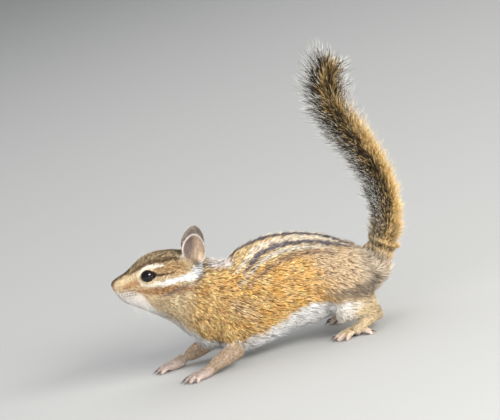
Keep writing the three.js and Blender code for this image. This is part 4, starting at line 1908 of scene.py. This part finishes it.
@dataclass
class Whiskers:
    """The long fine hairs of the lip, the brow and the chin."""

    steps: int = 9
    sides: int = 3
    thick: float = 0.13
    stray: float = 0.14

    def _hair(self, root: Array, way: Array, length: float, droop: float) -> tuple[Array, Array]:
        """One hair as a thin tapered rod.

        Args:
            root: where it leaves the skin, in animal millimetres.
            way: the direction it leaves in.
            length: its length.
            droop: how far its end hangs below its first direction.

        Returns:
            Its vertices and its triangles.
        """
        share = np.linspace(0, 1, self.steps)[:, None]
        middle = root + way * length * share - np.array([0, 0, droop]) * share**2
        aside = unit(np.cross(way, np.array([0.0, 0.0, 1.0])))
        over = np.cross(aside, way)
        rings = []
        for side in range(self.sides):
            turn = 2 * math.pi * side / self.sides
            out = aside * math.cos(turn) + over * math.sin(turn)
            rings.append(middle + out * (self.thick / 2) * (1.0 - 0.85 * share))
        vertices = np.stack(rings, axis=1).reshape(-1, 3)
        faces = []
        for step in range(self.steps - 1):
            for side in range(self.sides):
                a = step * self.sides + side
                b = step * self.sides + (side + 1) % self.sides
                faces += [(a, b, b + self.sides), (a, b + self.sides, a + self.sides)]
        last = (self.steps - 1) * self.sides
        faces += [(0, 2, 1), (last, last + 1, last + 2)]
        return vertices, np.array(faces)

    def build(self, hide: Hide) -> bpy.types.Object:
        """Models all the long hairs.

        Args:
            hide: the skin that they leave.

        Returns:
            One piece.
        """
        rng = np.random.default_rng(23)
        points, faces = [], []
        surface = hide.surface.points
        back, high = side_view(surface)
        for side in (-1, 1):
            own = np.flatnonzero(surface[:, 1] * side > 0)
            plans = [(x, y, (0.5, 0.62, -0.45), 11 + 7 * (x + 43) / 7, 5.0) for x, y in whisker_roots()]
            plans += [(-31.5, 52.4, (0.25, 0.35, 0.9), 9.0, 1.0), (-29.8, 53.4, (0.4, 0.3, 0.86), 7.5, 0.5)]
            plans += [(-40 + 1.4 * i, 37.6 - 0.9 * i, (0.15, 0.25, -0.95), 3.6, 0.0) for i in range(5)]
            for x, y, way, length, droop in plans:
                root = surface[own[np.hypot(back[own] - x, high[own] - y).argmin()]]
                turn = mirrored(way, side) + rng.normal(scale=self.stray, size=3)
                hair, rod = self._hair(root, unit(turn), length * rng.uniform(0.75, 1.1), droop)
                faces.append(rod + sum(len(each) for each in points))
                points.append(hair)
        mesh = bpy.data.meshes.new("whiskers")
        mesh.from_pydata(to_row(np.concatenate(points)).tolist(), [], np.concatenate(faces).tolist())
        paint(mesh, WHISKER)
        piece = put("whiskers", mesh)
        with editing(piece):
            bpy.ops.mesh.normals_make_consistent(inside=False)
        hand_over(piece, HAIR.make())
        return piece


@dataclass
class Studio:
    """The pale floor, the soft lights and the camera at the photograph's angle."""

    distance: float = 1.222
    lens: float = 200.0
    sensor: float = 36.0
    aim: tuple[float, float, float] = (0.00116, 0.0, 0.0639)
    floor_size: float = 6.0
    floor_colour: tuple[float, float, float, float] = (0.47, 0.47, 0.46, 1.0)
    sky_colour: tuple[float, float, float, float] = (0.86, 0.90, 0.95, 1.0)
    sky_strength: float = 0.3

    def camera(self) -> bpy.types.Object:
        """Adds the camera, turned and rolled as the photograph is.

        Returns:
            The camera.
        """
        data = bpy.data.cameras.new("camera")
        data.lens = self.lens
        data.sensor_width = self.sensor
        data.clip_start = 0.05
        data.clip_end = 50.0
        camera = put("camera", data)
        right = Vector((1.0, 0.0, 0.0))
        up = Vector((0.0, math.sin(LOOK_DOWN), math.cos(LOOK_DOWN)))
        behind = Vector((0.0, -math.cos(LOOK_DOWN), math.sin(LOOK_DOWN)))
        rolled_right = right * math.cos(ROLL) - up * math.sin(ROLL)
        rolled_up = right * math.sin(ROLL) + up * math.cos(ROLL)
        turn = Matrix((rolled_right, rolled_up, behind)).transposed().to_4x4()
        camera.matrix_world = Matrix.Translation(Vector(self.aim) + behind * self.distance) @ turn
        bpy.context.scene.camera = camera
        return camera

    def floor(self) -> bpy.types.Object:
        """Adds the floor.

        Returns:
            The floor.
        """
        deselect()
        bpy.ops.mesh.primitive_plane_add(size=self.floor_size)
        floor = bpy.context.object
        floor.name = "floor"
        material = bpy.data.materials.new("floor_paint")
        material.use_nodes = True
        shader(material).inputs["Base Color"].default_value = self.floor_colour
        shader(material).inputs["Roughness"].default_value = 0.85
        floor.data.materials.append(material)
        return floor

    def lights(self) -> None:
        """Adds a broad key light, three softer ones and a pale sky."""
        plans = (
            ("key", (0.72, -0.95, 0.66), (1.1, 0.55), 28.5, (1.0, 0.98, 0.94)),
            ("fill", (-1.4, -1.2, 0.9), (2.4, 2.4), 8.0, (0.94, 0.97, 1.0)),
            ("top", (0.1, 0.5, 1.2), (1.6, 1.6), 11.0, (1.0, 1.0, 1.0)),
            ("low", (-0.8, -1.3, 0.4), (2.4, 0.8), 13.0, (1.0, 1.0, 1.0)),
        )
        for name, place, size, power, colour in plans:
            data = bpy.data.lights.new(name, "AREA")
            data.shape = "ELLIPSE"
            data.size, data.size_y = size
            data.energy = power
            data.color = colour
            light = put(name, data)
            light.visible_glossy = name == "key"
            turn = (Vector(place) - Vector(self.aim)).to_track_quat("Z", "Y").to_matrix().to_4x4()
            light.matrix_world = Matrix.Translation(Vector(place)) @ turn
        world = bpy.data.worlds.new("sky")
        world.use_nodes = True
        sky = world.node_tree.nodes["Background"]
        sky.inputs["Color"].default_value = self.sky_colour
        sky.inputs["Strength"].default_value = self.sky_strength
        bpy.context.scene.world = world
        bpy.context.scene.view_settings.view_transform = "Standard"


def main(frame: dict) -> None:
    """Builds the scene around the frame.
    """
    studio = Studio()
    studio.camera()
    studio.lights()
    studio.floor()
    hide = Hide(frame)
    skin = hide.build()
    LOG.info("%s: %d faces", skin.name, len(skin.data.polygons))
    coat = Coat(hide)
    for piece in coat.build():
        LOG.info("%s: %d faces", piece.name, len(piece.data.polygons))
    LOG.info("tufts: %d", coat.count)
    for piece in Eyes().build() + Claws().build(frame) + [Whiskers().build(hide)]:
        LOG.info("%s: %d faces", piece.name, len(piece.data.polygons))


if __name__ == "__main__":
    logging.basicConfig(level=logging.INFO, format="%(name)s %(message)s")
    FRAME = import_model()
    main(FRAME)
